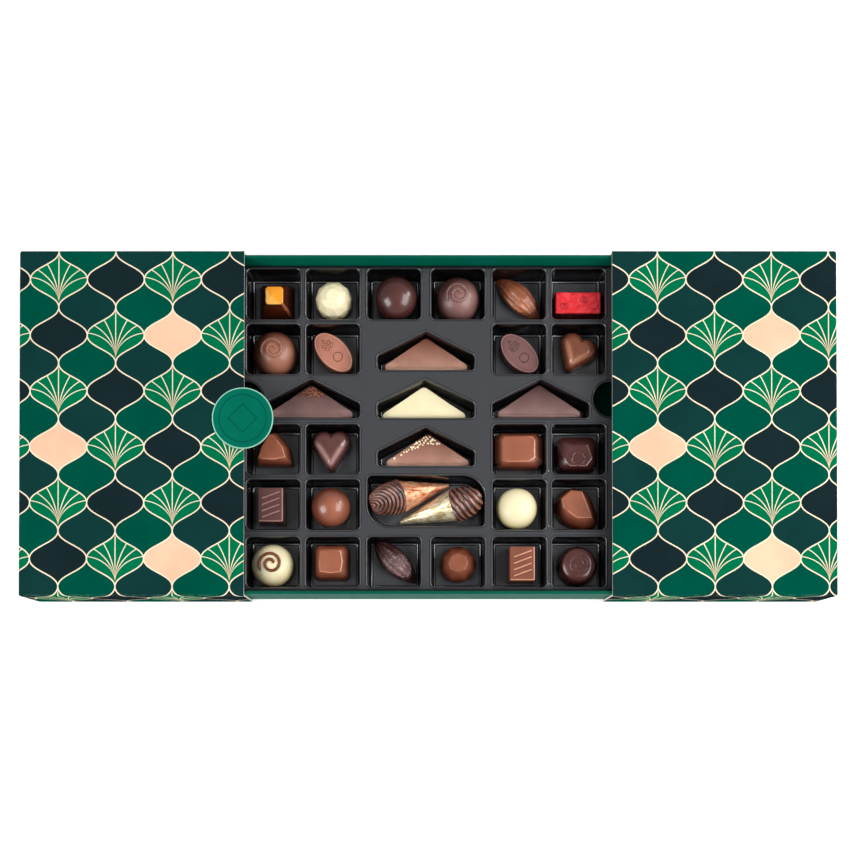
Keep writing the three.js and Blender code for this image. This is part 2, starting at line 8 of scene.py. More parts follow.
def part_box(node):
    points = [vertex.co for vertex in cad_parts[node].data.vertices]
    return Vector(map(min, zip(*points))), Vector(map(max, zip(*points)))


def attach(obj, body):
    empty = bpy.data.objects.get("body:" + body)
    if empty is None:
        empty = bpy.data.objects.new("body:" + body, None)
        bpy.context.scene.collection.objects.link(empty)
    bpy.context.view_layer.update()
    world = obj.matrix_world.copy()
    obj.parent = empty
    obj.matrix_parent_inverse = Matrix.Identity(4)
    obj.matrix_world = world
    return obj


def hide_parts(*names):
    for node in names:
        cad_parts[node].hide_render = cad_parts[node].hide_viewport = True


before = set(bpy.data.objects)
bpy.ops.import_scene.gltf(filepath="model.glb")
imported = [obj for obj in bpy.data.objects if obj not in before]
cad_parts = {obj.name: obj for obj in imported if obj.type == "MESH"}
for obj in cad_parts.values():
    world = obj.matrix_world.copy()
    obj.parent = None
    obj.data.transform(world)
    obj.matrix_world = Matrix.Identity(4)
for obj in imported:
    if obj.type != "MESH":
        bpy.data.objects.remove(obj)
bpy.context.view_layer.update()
mm = 0.001
print("frame loaded:", len(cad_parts), "nodes")


# Shader helpers

class Number:
    # a number inside a shader tree, so that sums and products of it read as formulas
    def __init__(self, tree, socket):
        self.tree = tree
        self.socket = socket

    def math(self, operation, *others):
        return calc(self.tree, operation, self, *others)

    def __add__(self, other):
        return self.math("ADD", other)

    def __sub__(self, other):
        return self.math("SUBTRACT", other)

    def __rsub__(self, other):
        return calc(self.tree, "SUBTRACT", other, self)

    def __mul__(self, other):
        return self.math("MULTIPLY", other)

    def __truediv__(self, other):
        return self.math("DIVIDE", other)

    def spread(self, low, high, newLow=0.0, newHigh=1.0):
        # a smooth step between two values
        ends = {0: self, 1: low, 2: high, 3: newLow, 4: newHigh}
        node = addShaderNode(self.tree, "ShaderNodeMapRange", ends, interpolation_type="SMOOTHSTEP")
        return Number(self.tree, node.outputs[0])


def feed(tree, socket, value):
    # a link where the value comes from a node, otherwise a constant
    value = value.socket if isinstance(value, Number) else value
    if isinstance(value, bpy.types.NodeSocket):
        tree.links.new(value, socket)
    else:
        socket.default_value = value


def addShaderNode(tree, kind, inputs=None, **settings):
    node = tree.nodes.new(kind)
    for name, value in settings.items():
        setattr(node, name, value)
    for key, value in (inputs or {}).items():
        feed(tree, node.inputs[key], value)
    return node


def calc(tree, operation, *values):
    node = addShaderNode(tree, "ShaderNodeMath", dict(enumerate(values)), operation=operation)
    return Number(tree, node.outputs[0])


def mixColour(tree, factor, first, second, blend="MIX"):
    node = addShaderNode(tree, "ShaderNodeMix", data_type="RGBA", blend_type=blend)
    for index, value in ((0, factor), (6, first), (7, second)):
        feed(tree, node.inputs[index], value)
    return node.outputs[2]


def dimmed(tree, colour, share):
    grey = addShaderNode(tree, "ShaderNodeCombineColor", {0: share, 1: share, 2: share}).outputs[0]
    return mixColour(tree, 1.0, colour, grey, "MULTIPLY")


def noiseAt(tree, place, scale, detail=3.0, rough=0.5):
    node = addShaderNode(tree, "ShaderNodeTexNoise", {"Vector": place, "Scale": scale,
                                                      "Detail": detail, "Roughness": rough})
    return Number(tree, node.outputs["Fac"])


def objectPlace(tree):
    return addShaderNode(tree, "ShaderNodeTexCoord").outputs["Object"]


def axesOf(tree, vector):
    parts = addShaderNode(tree, "ShaderNodeSeparateXYZ", {0: vector}).outputs
    return [Number(tree, parts[axis]) for axis in range(3)]


def toneOf(tree):
    return addShaderNode(tree, "ShaderNodeAttribute", attribute_name="tone").outputs["Fac"]


def linear(colour):
    # sRGB 0-255 as seen on a calibrated screen to scene colour
    shares = [channel / 255 for channel in colour]
    return tuple(c / 12.92 if c <= 0.04045 else ((c + 0.055) / 1.055) ** 2.4 for c in shares) + (1.0,)


finishOutputs = [("Colour", "colour"), ("Roughness", "value"), ("Height", "value")]


def newGroup(name, inputs, outputs=finishOutputs):
    tree = bpy.data.node_groups.new(name, "ShaderNodeTree")
    kinds = {"colour": "NodeSocketColor", "value": "NodeSocketFloat"}
    for label, kind, value in inputs:
        tree.interface.new_socket(label, in_out="INPUT", socket_type=kinds[kind]).default_value = value
    for label, kind in outputs:
        tree.interface.new_socket(label, in_out="OUTPUT", socket_type=kinds[kind])
    given = tree.nodes.new("NodeGroupInput").outputs
    out = tree.nodes.new("NodeGroupOutput").inputs
    return tree, {label: Number(tree, given[label]) for label, _, _ in inputs}, out


# Slightly uneven finish of anything moulded or cast: mottled colour, faint pits, patchy gloss, second colour
# as painted light and shade
def castFinishGroup(cloudScale=90.0, pitScale=420.0, pitSize=0.12):
    tree, given, out = newGroup("cast finish", [
        ("Colour", "colour", (0.1, 0.05, 0.03, 1)), ("Painted Shading Colour", "colour", (0.2, 0.1, 0.06, 1)),
        ("Tone", "value", 0.0), ("Mottle", "value", 0.1), ("Grain Scale", "value", 300.0),
        ("Roughness", "value", 0.3), ("Patchiness", "value", 0.08)])
    place = objectPlace(tree)
    broad = noiseAt(tree, place, cloudScale, 4.0)
    fine = noiseAt(tree, place, given["Grain Scale"])
    shade = broad.spread(0.3, 0.7, -1.0, 1.0)
    withPaintedShading = mixColour(tree, given["Tone"], given["Colour"], given["Painted Shading Colour"])
    feed(tree, out["Colour"], dimmed(tree, withPaintedShading, shade * given["Mottle"] + 1.0))
    patch = (fine - 0.5) * given["Patchiness"]
    feed(tree, out["Roughness"], given["Roughness"] + shade * given["Patchiness"] * 0.4 + patch)
    cells = addShaderNode(tree, "ShaderNodeTexVoronoi", {"Vector": place, "Scale": pitScale})
    pits = Number(tree, cells.outputs["Distance"]).spread(0.0, pitSize, -1.0, 0.0)
    feed(tree, out["Height"], pits * 0.25 + fine + broad)
    return tree


# Crumpled foil: broken creases at two sizes, with painted shade darkening the larger ones
def foilGroup(warpScale=60.0, warp=0.006):
    tree, given, out = newGroup("crumpled foil", [
        ("Colour", "colour", (0.8, 0.1, 0.1, 1)), ("Painted Crease Shade", "colour", (0.3, 0.02, 0.02, 1)),
        ("Crease Scale", "value", 150.0), ("Roughness", "value", 0.25)])
    place = objectPlace(tree)
    bent = addShaderNode(tree, "ShaderNodeTexNoise", {"Vector": place, "Scale": warpScale, "Detail": 2.0})
    warped = addShaderNode(tree, "ShaderNodeVectorMath", {0: bent.outputs["Color"], 1: (warp, warp, warp)},
                           operation="MULTIPLY").outputs[0]
    moved = addShaderNode(tree, "ShaderNodeVectorMath", {0: place, 1: warped}, operation="ADD").outputs[0]
    large, small = [Number(tree, addShaderNode(
        tree, "ShaderNodeTexVoronoi", {"Vector": moved, "Scale": scale},
        feature="DISTANCE_TO_EDGE").outputs["Distance"])
        for scale in (given["Crease Scale"], given["Crease Scale"] * 2.7)]
    crease = large.spread(0.0, 0.25)
    feed(tree, out["Colour"], mixColour(tree, crease, given["Painted Crease Shade"], given["Colour"]))
    feed(tree, out["Roughness"], given["Roughness"] + 0.12 - crease * 0.12)
    feed(tree, out["Height"], small * 0.4 + large)
    return tree


# Metallic lustre brushed along a cone: long streaks and a fine sparkle
def lustreGroup(streakScale=420.0, sparkleScale=2200.0):
    tree, given, out = newGroup("brushed lustre", [
        ("Colour", "colour", (0.8, 0.4, 0.1, 1)), ("Shade Colour", "colour", (0.2, 0.08, 0.02, 1)),
        ("Streak Turn", "value", 0.0), ("Roughness", "value", 0.3)])
    place = objectPlace(tree)
    turned = addShaderNode(tree, "ShaderNodeVectorRotate", {"Vector": place, "Angle": given["Streak Turn"]},
                           rotation_type="Z_AXIS").outputs[0]
    drawn = addShaderNode(tree, "ShaderNodeMapping", {"Vector": turned, "Scale": (0.16, 1.0, 1.0)}).outputs[0]
    streaks = noiseAt(tree, drawn, streakScale, 5.0, 0.65)
    sparkle = noiseAt(tree, place, sparkleScale, 2.0, 0.7)
    bare = (sparkle * 0.35 + streaks).spread(0.52, 0.78)
    feed(tree, out["Colour"], mixColour(tree, bare, given["Shade Colour"], given["Colour"]))
    feed(tree, out["Roughness"], sparkle * 0.15 + given["Roughness"])
    feed(tree, out["Height"], streaks + sparkle * 0.4)
    return tree


# Coated board: paper fibres, faint scuffs, worn along the folds
def boardGroup(fibreScale=900.0, cloudScale=35.0, scuffScale=260.0):
    tree, given, out = newGroup("coated board", [
        ("Colour", "colour", (0.0, 0.1, 0.07, 1)), ("Wear Colour", "colour", (0.5, 0.55, 0.5, 1)),
        ("Wear", "value", 0.3), ("Edge", "value", 0.0), ("Roughness", "value", 0.45)])
    place = objectPlace(tree)
    drawn = addShaderNode(tree, "ShaderNodeMapping", {"Vector": place, "Scale": (1.0, 4.0, 4.0)}).outputs[0]
    cloud = noiseAt(tree, place, cloudScale)
    scuffs = noiseAt(tree, place, scuffScale, 5.0).spread(0.42, 0.62) * given["Edge"] * given["Wear"]
    shaded = dimmed(tree, given["Colour"], cloud.spread(0.3, 0.7, 0.93, 1.07))
    feed(tree, out["Colour"], mixColour(tree, scuffs, shaded, given["Wear Colour"]))
    feed(tree, out["Roughness"], cloud * 0.08 + given["Roughness"] - 0.04)
    feed(tree, out["Height"], noiseAt(tree, drawn, fibreScale, 4.0, 0.6))
    return tree


castFinish = castFinishGroup()
foilFinish = foilGroup()
lustreFinish = lustreGroup()
boardFinish = boardGroup()


def newMaterial(name):
    material = bpy.data.materials.new(name)
    material.use_nodes = True
    tree = material.node_tree
    return material, tree, tree.nodes["Principled BSDF"]


def useGroup(tree, group, values):
    node = tree.nodes.new("ShaderNodeGroup")
    node.node_tree = group
    for key, value in values.items():
        feed(tree, node.inputs[key], value)
    return node.outputs


def wire(tree, shader, finish, bump, distance=0.0002, **constants):
    # colour, roughness and bump from a finish; the rest are constants such as coatWeight or metallic
    feed(tree, shader.inputs["Base Color"], finish["Colour"])
    feed(tree, shader.inputs["Roughness"], finish["Roughness"])
    bumped = addShaderNode(tree, "ShaderNodeBump", {"Strength": bump, "Distance": distance,
                                                    "Height": finish["Height"]})
    feed(tree, shader.inputs["Normal"], bumped.outputs[0])
    labels = dict(specular="Specular IOR Level", metallic="Metallic", coat="Coat Weight",
                  coatRoughness="Coat Roughness", glow="Subsurface Weight", glowDepth="Subsurface Scale")
    for key, value in constants.items():
        shader.inputs[labels[key]].default_value = value


# Each chocolate: its colour, a second colour of painted light and shade that the "tone" of a mesh blends in,
# and its gloss
def chocolateMaterial(name, look):
    material, tree, shader = newMaterial(name)
    finish = useGroup(tree, castFinish, {
        "Colour": linear(look["colour"]), "Painted Shading Colour": linear(look["second"]), "Tone": toneOf(tree),
        "Mottle": look.get("mottle", 0.08), "Roughness": look["roughness"],
        "Grain Scale": look.get("grain", 500.0), "Patchiness": look.get("patchiness", 0.08)})
    wire(tree, shader, finish, look.get("bump", 0.12), look.get("depth", 0.0002), coat=look.get("coat", 0.0),
         coatRoughness=0.12, glow=look.get("glow", 0.0), glowDepth=0.002)
    return material


def foilMaterial(name, look):
    material, tree, shader = newMaterial(name)
    finish = useGroup(tree, foilFinish, {
        "Colour": linear(look["colour"]), "Painted Crease Shade": linear(look["crease"]),
        "Crease Scale": 150.0, "Roughness": look["roughness"]})
    wire(tree, shader, finish, 0.1, 0.0006, metallic=look["metal"], coat=look["coat"])
    return material


def lustreMaterial(name, look):
    material, tree, shader = newMaterial(name)
    finish = useGroup(tree, lustreFinish, {
        "Colour": linear(look["colour"]), "Shade Colour": linear(look["shade"]),
        "Streak Turn": look["turn"], "Roughness": 0.3})
    wire(tree, shader, finish, look["bump"], 0.0004, metallic=0.55, coat=0.2)
    return material


looks = {
    "dark": dict(colour=(58, 26, 23), second=(100, 58, 54), roughness=0.28, coat=0.4, patchiness=0.05),
    "darkScroll": dict(colour=(58, 29, 27), second=(168, 122, 116), roughness=0.42, coat=0.15),
    "darkSatin": dict(colour=(66, 35, 33), second=(200, 160, 154), roughness=0.36, coat=0.15),
    "darkTop": dict(colour=(54, 28, 26), second=(112, 74, 70), roughness=0.36, coat=0.15),
    "milkTop": dict(colour=(92, 46, 30), second=(148, 88, 66), roughness=0.36, coat=0.15),
    # dark medallion top: dark chocolate painted lighter as a sheen
    "darkPaintedSheen": dict(colour=(112, 74, 72), second=(158, 118, 116), roughness=0.42),
    "darkPod": dict(colour=(50, 24, 21), second=(140, 106, 106), roughness=0.24, mottle=0.14, bump=1.0,
                    grain=170.0, depth=0.0016),
    "milk": dict(colour=(98, 47, 29), second=(184, 112, 84), roughness=0.3, coat=0.4, patchiness=0.06),
    "milkScroll": dict(colour=(84, 42, 28), second=(196, 132, 106), roughness=0.44, coat=0.1),
    # milk medallion top: satin milk chocolate painted lighter as a sheen
    "milkSatinPaintedSheen": dict(colour=(172, 110, 90), second=(214, 152, 130), roughness=0.42),
    "milkSlab": dict(colour=(112, 57, 37), second=(246, 196, 172), roughness=0.38, coat=0.15),
    # the Edge looks paint highlight lines on table rims and rib crests
    "milkEdge": dict(colour=(198, 132, 104), second=(214, 150, 122), roughness=0.25, coat=0.5),
    "darkEdge": dict(colour=(150, 108, 102), second=(160, 118, 112), roughness=0.25, coat=0.5),
    "milkHeart": dict(colour=(122, 66, 44), second=(214, 150, 122), roughness=0.3, coat=0.5),
    "darkHeart": dict(colour=(80, 42, 38), second=(206, 160, 152), roughness=0.28, coat=0.6),
    "milkPod": dict(colour=(120, 66, 42), second=(188, 118, 88), roughness=0.24, mottle=0.16, bump=0.7,
                    grain=170.0, depth=0.0012),
    "cream": dict(colour=(246, 234, 194), second=(216, 196, 132), roughness=0.4, glow=0.2, mottle=0.03),
    "orange": dict(colour=(246, 154, 34), second=(252, 190, 90), roughness=0.2, coat=0.6, glow=0.1),
    "brownBase": dict(colour=(70, 28, 12), second=(150, 84, 48), roughness=0.26, coat=0.4),
    "piping": dict(colour=(112, 58, 28), second=(150, 92, 54), roughness=0.35),
    "swirl": dict(colour=(50, 23, 16), second=(168, 114, 96), roughness=0.26, coat=0.4),
    "cocoaNib": dict(colour=(96, 46, 30), second=(222, 142, 100), roughness=0.4, grain=900.0, mottle=0.4,
                     bump=0.5),
    "goldNib": dict(colour=(252, 234, 196), second=(255, 246, 222), roughness=0.36, grain=900.0, mottle=0.2,
                    bump=0.4),
}
chocolates = {name: chocolateMaterial(name, look) for name, look in looks.items()}
# the crease colours are painted shade along the creases
redFoil = foilMaterial("red foil", dict(
    colour=(255, 66, 72), crease=(236, 34, 48), roughness=0.32, metal=0.15, coat=0.5))
shadedFoil = foilMaterial("red foil in shade", dict(
    colour=(120, 8, 14), crease=(70, 0, 6), roughness=0.4, metal=0.1, coat=0.0))
stampFoil = foilMaterial("dark red stamp on foil", dict(
    colour=(150, 8, 22), crease=(120, 4, 16), roughness=0.4, metal=0.3, coat=0.0))
bronzeLustre = lustreMaterial("bronze lustre", dict(colour=(250, 192, 152), shade=(206, 90, 40), turn=-0.28,
                                                    bump=0.15))
goldLustre = lustreMaterial("gold lustre", dict(colour=(254, 240, 208), shade=(176, 146, 84), turn=-0.26,
                                                bump=0.2))
print("chocolate and foil materials made")


# Printed board: an ogee lattice with a fan of ribs in every fourth kind of cell, sizes in mm

latticePrint = dict(pitchX=19.32, pitchY=18.97, originX=-250.5, originY=97.6, line=0.84, fatness=0.15,
                    ribSpread=0.275, ribHalf=0.33, ribBend=0.85, bendReach=25.0, ribPairs=3.0, focusDrop=15.6,
                    ribReach=29.0, rootWidth=0.25, lines=(250, 228, 200), fan=(0, 108, 70), plain=(0, 76, 60),
                    teal=(16, 54, 52), dark=(22, 38, 41), copper=(240, 194, 162))


def latticeGroup(look):
    tree, given, out = newGroup("ogee lattice print", [("Shift X", "value", 0.0), ("Top", "value", 0.038)], [
        ("Colour", "colour"), ("Gilt", "value")])
    place = axesOf(tree, objectPlace(tree))
    facing = axesOf(tree, addShaderNode(tree, "ShaderNodeTexCoord").outputs["Normal"])
    # the print runs on over the folds and down the sides
    drop = given["Top"] - place[2]
    alongX = facing[0] * drop + place[0] + given["Shift X"]
    alongY = facing[1] * drop + place[1]
    x = (alongX - look["originX"] * mm) / (look["pitchX"] * mm)
    y = (look["originY"] * mm - alongY) / (look["pitchY"] * mm)
    # each line is a cosine wave, a little fatter than a plain one
    column = x.math("FLOOR")
    phase = (y - column) * math.pi
    wave = phase.math("COSINE")
    fat = look["fatness"]
    shaped = wave * (1 + fat) - wave * wave * wave * fat
    gap = x - column - (shaped * 0.5 + 0.5)
    slope = phase.math("SINE") * ((1 + fat) - wave * wave * (3 * fat)) * (math.pi / 2)
    away = gap.math("ABSOLUTE") / (slope * slope + 1.0).math("SQRT")
    half = look["line"] / 2 / look["pitchX"]
    line = away.spread(half * 0.75, half * 1.25, 1.0, 0.0)
    # the cell that a point is in, and the cell's kind
    own = column + gap.math("GREATER_THAN", 0.0)
    row = ((y - own) * 0.5).math("ROUND") * 2.0 + own
    odd = row.math("PINGPONG", 1.0)
    kind = own + row
    bright = (kind + 0.5).math("FLOORED_MODULO", 4.0).math("LESS_THAN", 1.0)
    copperKind = kind.math("FLOORED_MODULO", 8.0).math("COMPARE", 6.0, 0.5)
    copper = copperKind * row.math("FLOORED_MODULO", 4.0).math("COMPARE", 2.0, 0.5)
    # ribs spread from a point low in the cell, and narrow towards it
    fanX = (x - own) * look["pitchX"]
    fanY = (row - y) * look["pitchY"] + look["focusDrop"]
    reach = (fanX * fanX + fanY * fanY).math("SQRT")
    ribAngle = (reach / look["bendReach"]).math("POWER", look["ribBend"]) * look["ribSpread"]
    ribs = fanX.math("ARCTAN2", fanY).math("ABSOLUTE") / ribAngle
    nearest = ribs.math("ROUND").math("MINIMUM", look["ribPairs"])
    offRib = (ribs - nearest).math("ABSOLUTE") * ribAngle * reach
    narrow = reach.spread(2.0, 16.0, look["rootWidth"], 1.0)
    rib = (offRib / narrow).spread(look["ribHalf"] * 0.7, look["ribHalf"] * 1.3, 1.0, 0.0)
    rib = rib * fanY.spread(0.4, 1.4) * bright * (1.0 - odd)
    rib = rib * reach.spread(look["ribReach"], look["ribReach"] + 4, 1.0, 0.0)
    colours = {name: linear(look[name]) for name in ("lines", "fan", "plain", "teal", "dark", "copper")}
    evenCell = mixColour(tree, bright, colours["dark"], colours["fan"])
    evenCell = mixColour(tree, copper, evenCell, colours["copper"])
    oddCell = mixColour(tree, bright, colours["teal"], colours["plain"])
    cell = mixColour(tree, odd, evenCell, oddCell)
    ribColour = mixColour(tree, reach.spread(3.0, 12.0), colours["copper"], colours["lines"])
    cell = mixColour(tree, rib, cell, ribColour)
    feed(tree, out["Colour"], mixColour(tree, line, cell, colours["lines"]))
    feed(tree, out["Gilt"], line.math("MAXIMUM", rib).math("MAXIMUM", copper))
    return tree


lattice = latticeGroup(latticePrint)


def printedMaterial(name, shiftX):
    material, tree, shader = newMaterial(name)
    printed = useGroup(tree, lattice, {"Shift X": shiftX * mm})
    finish = useGroup(tree, boardFinish, {"Colour": printed["Colour"], "Wear Colour": linear((120, 150, 138)),
                                          "Wear": 0.12, "Edge": toneOf(tree), "Roughness": 0.5})
    wire(tree, shader, finish, 0.06, specular=0.0)
    feed(tree, shader.inputs["Metallic"], Number(tree, printed["Gilt"]) * 0.04)
    return material


def boardMaterial(name, colour, wear=0.1, roughness=0.5):
    material, tree, shader = newMaterial(name)
    finish = useGroup(tree, boardFinish, {
        "Colour": linear(boxColours[colour]), "Wear Colour": linear(boxColours["wear"]), "Wear": wear,
        "Edge": toneOf(tree), "Roughness": roughness})
    wire(tree, shader, finish, 0.08, specular=0.03)
    return material


boxColours = dict(tray=(0, 88, 70), wall=(0, 108, 86), floor=(20, 92, 80), inside=(206, 206, 198),
                  cutEdge=(236, 232, 220), rim=(8, 88, 70), wear=(170, 196, 182))
trayBoard = boardMaterial("green tray board", "tray", 0.3)
trayWall = boardMaterial("green tray wall inside", "wall")
trayFloor = boardMaterial("dark tray floor", "floor")
plainBoard = boardMaterial("uncoated board inside", "inside", 0.0, 0.8)
cutBoard = boardMaterial("cut board edge", "cutEdge", 0.0, 0.8)
rimBoard = boardMaterial("folded tray rim", "rim", 0.5, 0.42)

# Round seal: plain green card with a pale rim, one embossed ring and a lozenge of thin lines
sealLook = dict(card=(0, 104, 84), rim=(150, 206, 182), ink=(0, 80, 64), outer=20.1, ring=(15.6, 16.4),
                ringLine=0.5, lozenge=9.6, lozengeLine=0.8)


def sealMaterial(look, middle):
    material, tree, shader = newMaterial("seal card print")
    place = axesOf(tree, objectPlace(tree))
    x = place[0] / mm - middle[0]
    y = place[1] / mm - middle[1]
    reach = (x * x + y * y).math("SQRT")
    diamond = x.math("ABSOLUTE") + y.math("ABSOLUTE")
    ringLine, lozengeLine = look["ringLine"], look["lozengeLine"]
    ring = (reach - sum(look["ring"]) / 2).math("ABSOLUTE").spread(ringLine * 0.5, ringLine, 1.0, 0.0)
    offLozenge = (diamond - look["lozenge"]).math("ABSOLUTE")
    lozenge = offLozenge.spread(lozengeLine * 0.4, lozengeLine * 0.8, 1.0, 0.0)
    colour = mixColour(tree, ring.math("MAXIMUM", lozenge), linear(look["card"]), linear(look["ink"]))
    rim = reach.spread(look["outer"] - 0.2, look["outer"] + 0.1)
    colour = mixColour(tree, rim, colour, linear(look["rim"]))
    finish = useGroup(tree, boardFinish, {"Colour": colour, "Wear Colour": linear(look["rim"]),
                                          "Wear": 0.1, "Roughness": 0.4})
    wire(tree, shader, finish, 0.04, specular=0.05)
    return material


# Dark thermoformed plastic, smooth on the bends; its wall colour is painted shade in the cups and along the
# box wall
insertLook = dict(colour=(88, 90, 94), wall=(10, 10, 13), roughness=0.16)


def plasticMaterial(look):
    material, tree, shader = newMaterial("dark formed plastic")
    finish = useGroup(tree, castFinish, {
        "Colour": linear(look["colour"]), "Painted Shading Colour": linear(look["wall"]), "Mottle": 0.0,
        "Tone": toneOf(tree), "Roughness": look["roughness"], "Grain Scale": 1600.0, "Patchiness": 0.1})
    wire(tree, shader, finish, 0.1, 0.0001, specular=0.8)
    return material


formedPlastic = plasticMaterial(insertLook)
print("board and plastic materials made")


# Mesh helpers, in millimetres

def joined(rings):
    return [point for ring in rings for point in ring]


def shares(count):
    return [i / count for i in range(count + 1)]


def turned(x, y, turn, middle=(0.0, 0.0)):
    cosine, sine = math.cos(turn), math.sin(turn)
    return middle[0] + x * cosine - y * sine, middle[1] + x * sine + y * cosine


def circlePath(x, y, radius, z, cuts, squash=1.0):
    angles = [2 * math.pi * i / cuts for i in range(cuts + 1)]
    return [(x + radius * math.cos(a), y + radius * squash * math.sin(a), z) for a in angles]


def makeObject(name, points, faces, material, body="tray", replaces=(), tone=None, angle=35,
               faceMaterials=None):
    mesh = bpy.data.meshes.new(name)
    mesh.from_pydata([tuple(c * mm for c in point) for point in points], [], faces)
    mesh.validate()
    for one in (material if isinstance(material, (list, tuple)) else [material]):
        mesh.materials.append(one)
    if faceMaterials:
        for polygon in mesh.polygons:
            polygon.material_index = faceMaterials[polygon.index]
    attribute = mesh.attributes.new("tone", "FLOAT", "POINT")
    if tone:
        for index, vertex in enumerate(mesh.vertices):
            attribute.data[index].value = tone[index]
    for polygon in mesh.polygons:
        polygon.use_smooth = True
    thing = bpy.data.objects.new(name, mesh)
    bpy.context.scene.collection.objects.link(thing)
    mesh.set_sharp_from_angle(angle=math.radians(angle))
    weighted = thing.modifiers.new("even shading", "WEIGHTED_NORMAL")
    weighted.keep_sharp = True
    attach(thing, body)
    if replaces:
        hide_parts(*replaces)
    return thing


def roundedPolygon(corners, radii, arcSteps=6):
    points = []
    for index, corner in enumerate(corners):
        here = Vector(corner)
        radius = radii[index] if isinstance(radii, (list, tuple)) else radii
        back = (Vector(corners[index - 1]) - here).normalized()
        ahead = (Vector(corners[(index + 1) % len(corners)]) - here).normalized()
        half = math.acos(max(-1, min(1, back.dot(ahead)))) / 2
        centre = here + (back + ahead).normalized() * radius / math.sin(half)
        start = here + back * radius / math.tan(half) - centre
        for step in range(arcSteps + 1):
            turn = (math.pi - 2 * half) * step / arcSteps
            points.append((centre.x + start.x * math.cos(turn) - start.y * math.sin(turn),
                           centre.y + start.x * math.sin(turn) + start.y * math.cos(turn)))
    return points


def rectangle(width, depth, radius, arcSteps=6):
    x, y = width / 2, depth / 2
    return roundedPolygon([(-x, -y), (x, -y), (x, y), (-x, y)], radius, arcSteps)


def ellipse(width, depth, count):
    return [(width / 2 * math.cos(2 * math.pi * i / count), depth / 2 * math.sin(2 * math.pi * i / count))
            for i in range(count)]


def evenly(outline, count):
    # the same closed outline with its points spaced evenly
    lengths = [math.dist(outline[i], outline[(i + 1) % len(outline)]) for i in range(len(outline))]
    step, points, walked, index = sum(lengths) / count, [], 0.0, 0
    for number in range(count):
        while walked + lengths[index] < number * step:
            walked += lengths[index]
            index += 1
        share = (number * step - walked) / max(lengths[index], 1e-9)
        here, ahead = outline[index], outline[(index + 1) % len(outline)]
        points.append((here[0] + (ahead[0] - here[0]) * share, here[1] + (ahead[1] - here[1]) * share))
    return points


def softPath(steps, reach, cuts=5):
    # a path of steps with each bend rounded off within the given reach
    path = [steps[0]]
    for before, here, after in zip(steps, steps[1:], steps[2:]):
        inReach = min(reach, 0.45 * math.dist(before[:2], here[:2]))
        outReach = min(reach, 0.45 * math.dist(here[:2], after[:2]))
        start = Vector(here).lerp(Vector(before), inReach / max(math.dist(before[:2], here[:2]), 1e-9))
        end = Vector(here).lerp(Vector(after), outReach / max(math.dist(here[:2], after[:2]), 1e-9))
        for cut in range(cuts + 1):
            t = cut / cuts
            path.append(tuple(start.lerp(Vector(here), t).lerp(Vector(here).lerp(end, t), t)))
    return path + [steps[-1]]


def ringFaces(count, levels, start=0, caps=(True, True)):
    faces = []
    for level in range(levels - 1):
        for i in range(count):
            a, b = start + level * count + i, start + level * count + (i + 1) % count
            faces.append((a, b, b + count, a + count))
    if caps[0]:
        faces.append(tuple(range(start + count - 1, start - 1, -1)))
    if caps[1]:
        last = start + (levels - 1) * count
        faces.append(tuple(range(last, last + count)))
    return faces


def mouldedRings(outline, steps, foot=0.0):
    halfWidth = max(abs(p[0]) for p in outline)
    halfDepth = max(abs(p[1]) for p in outline)
    rings = []
    for step in steps:
        inset, height, turn = (tuple(step) + (0.0,))[:3]
        across, deep = 1 - inset / halfWidth, 1 - inset / halfDepth
        rings.append([(*turned(x * across, y * deep, turn), height + foot) for x, y in outline])
    return rings


def closeTop(rings, peak=0.0, count=5):
    # rings that shrink to the middle, so that a top face has points to shade and to shape
    last = rings[-1]
    middle = [sum(p[axis] for p in last) / len(last) for axis in range(3)]
    for number in range(1, count + 1):
        share = number / (count + 0.6)
        lift = (0, 0, peak * share * (2 - share))
        rings.append([tuple(p[axis] + (middle[axis] - p[axis]) * share + lift[axis] for axis in range(3))
                      for p in last])
    return rings


# Sleeves, tray and seal

sleeveSizes = dict(board=1.5, fold=1.8, foldSteps=7, edgeSoft=0.25, lengthSteps=12)


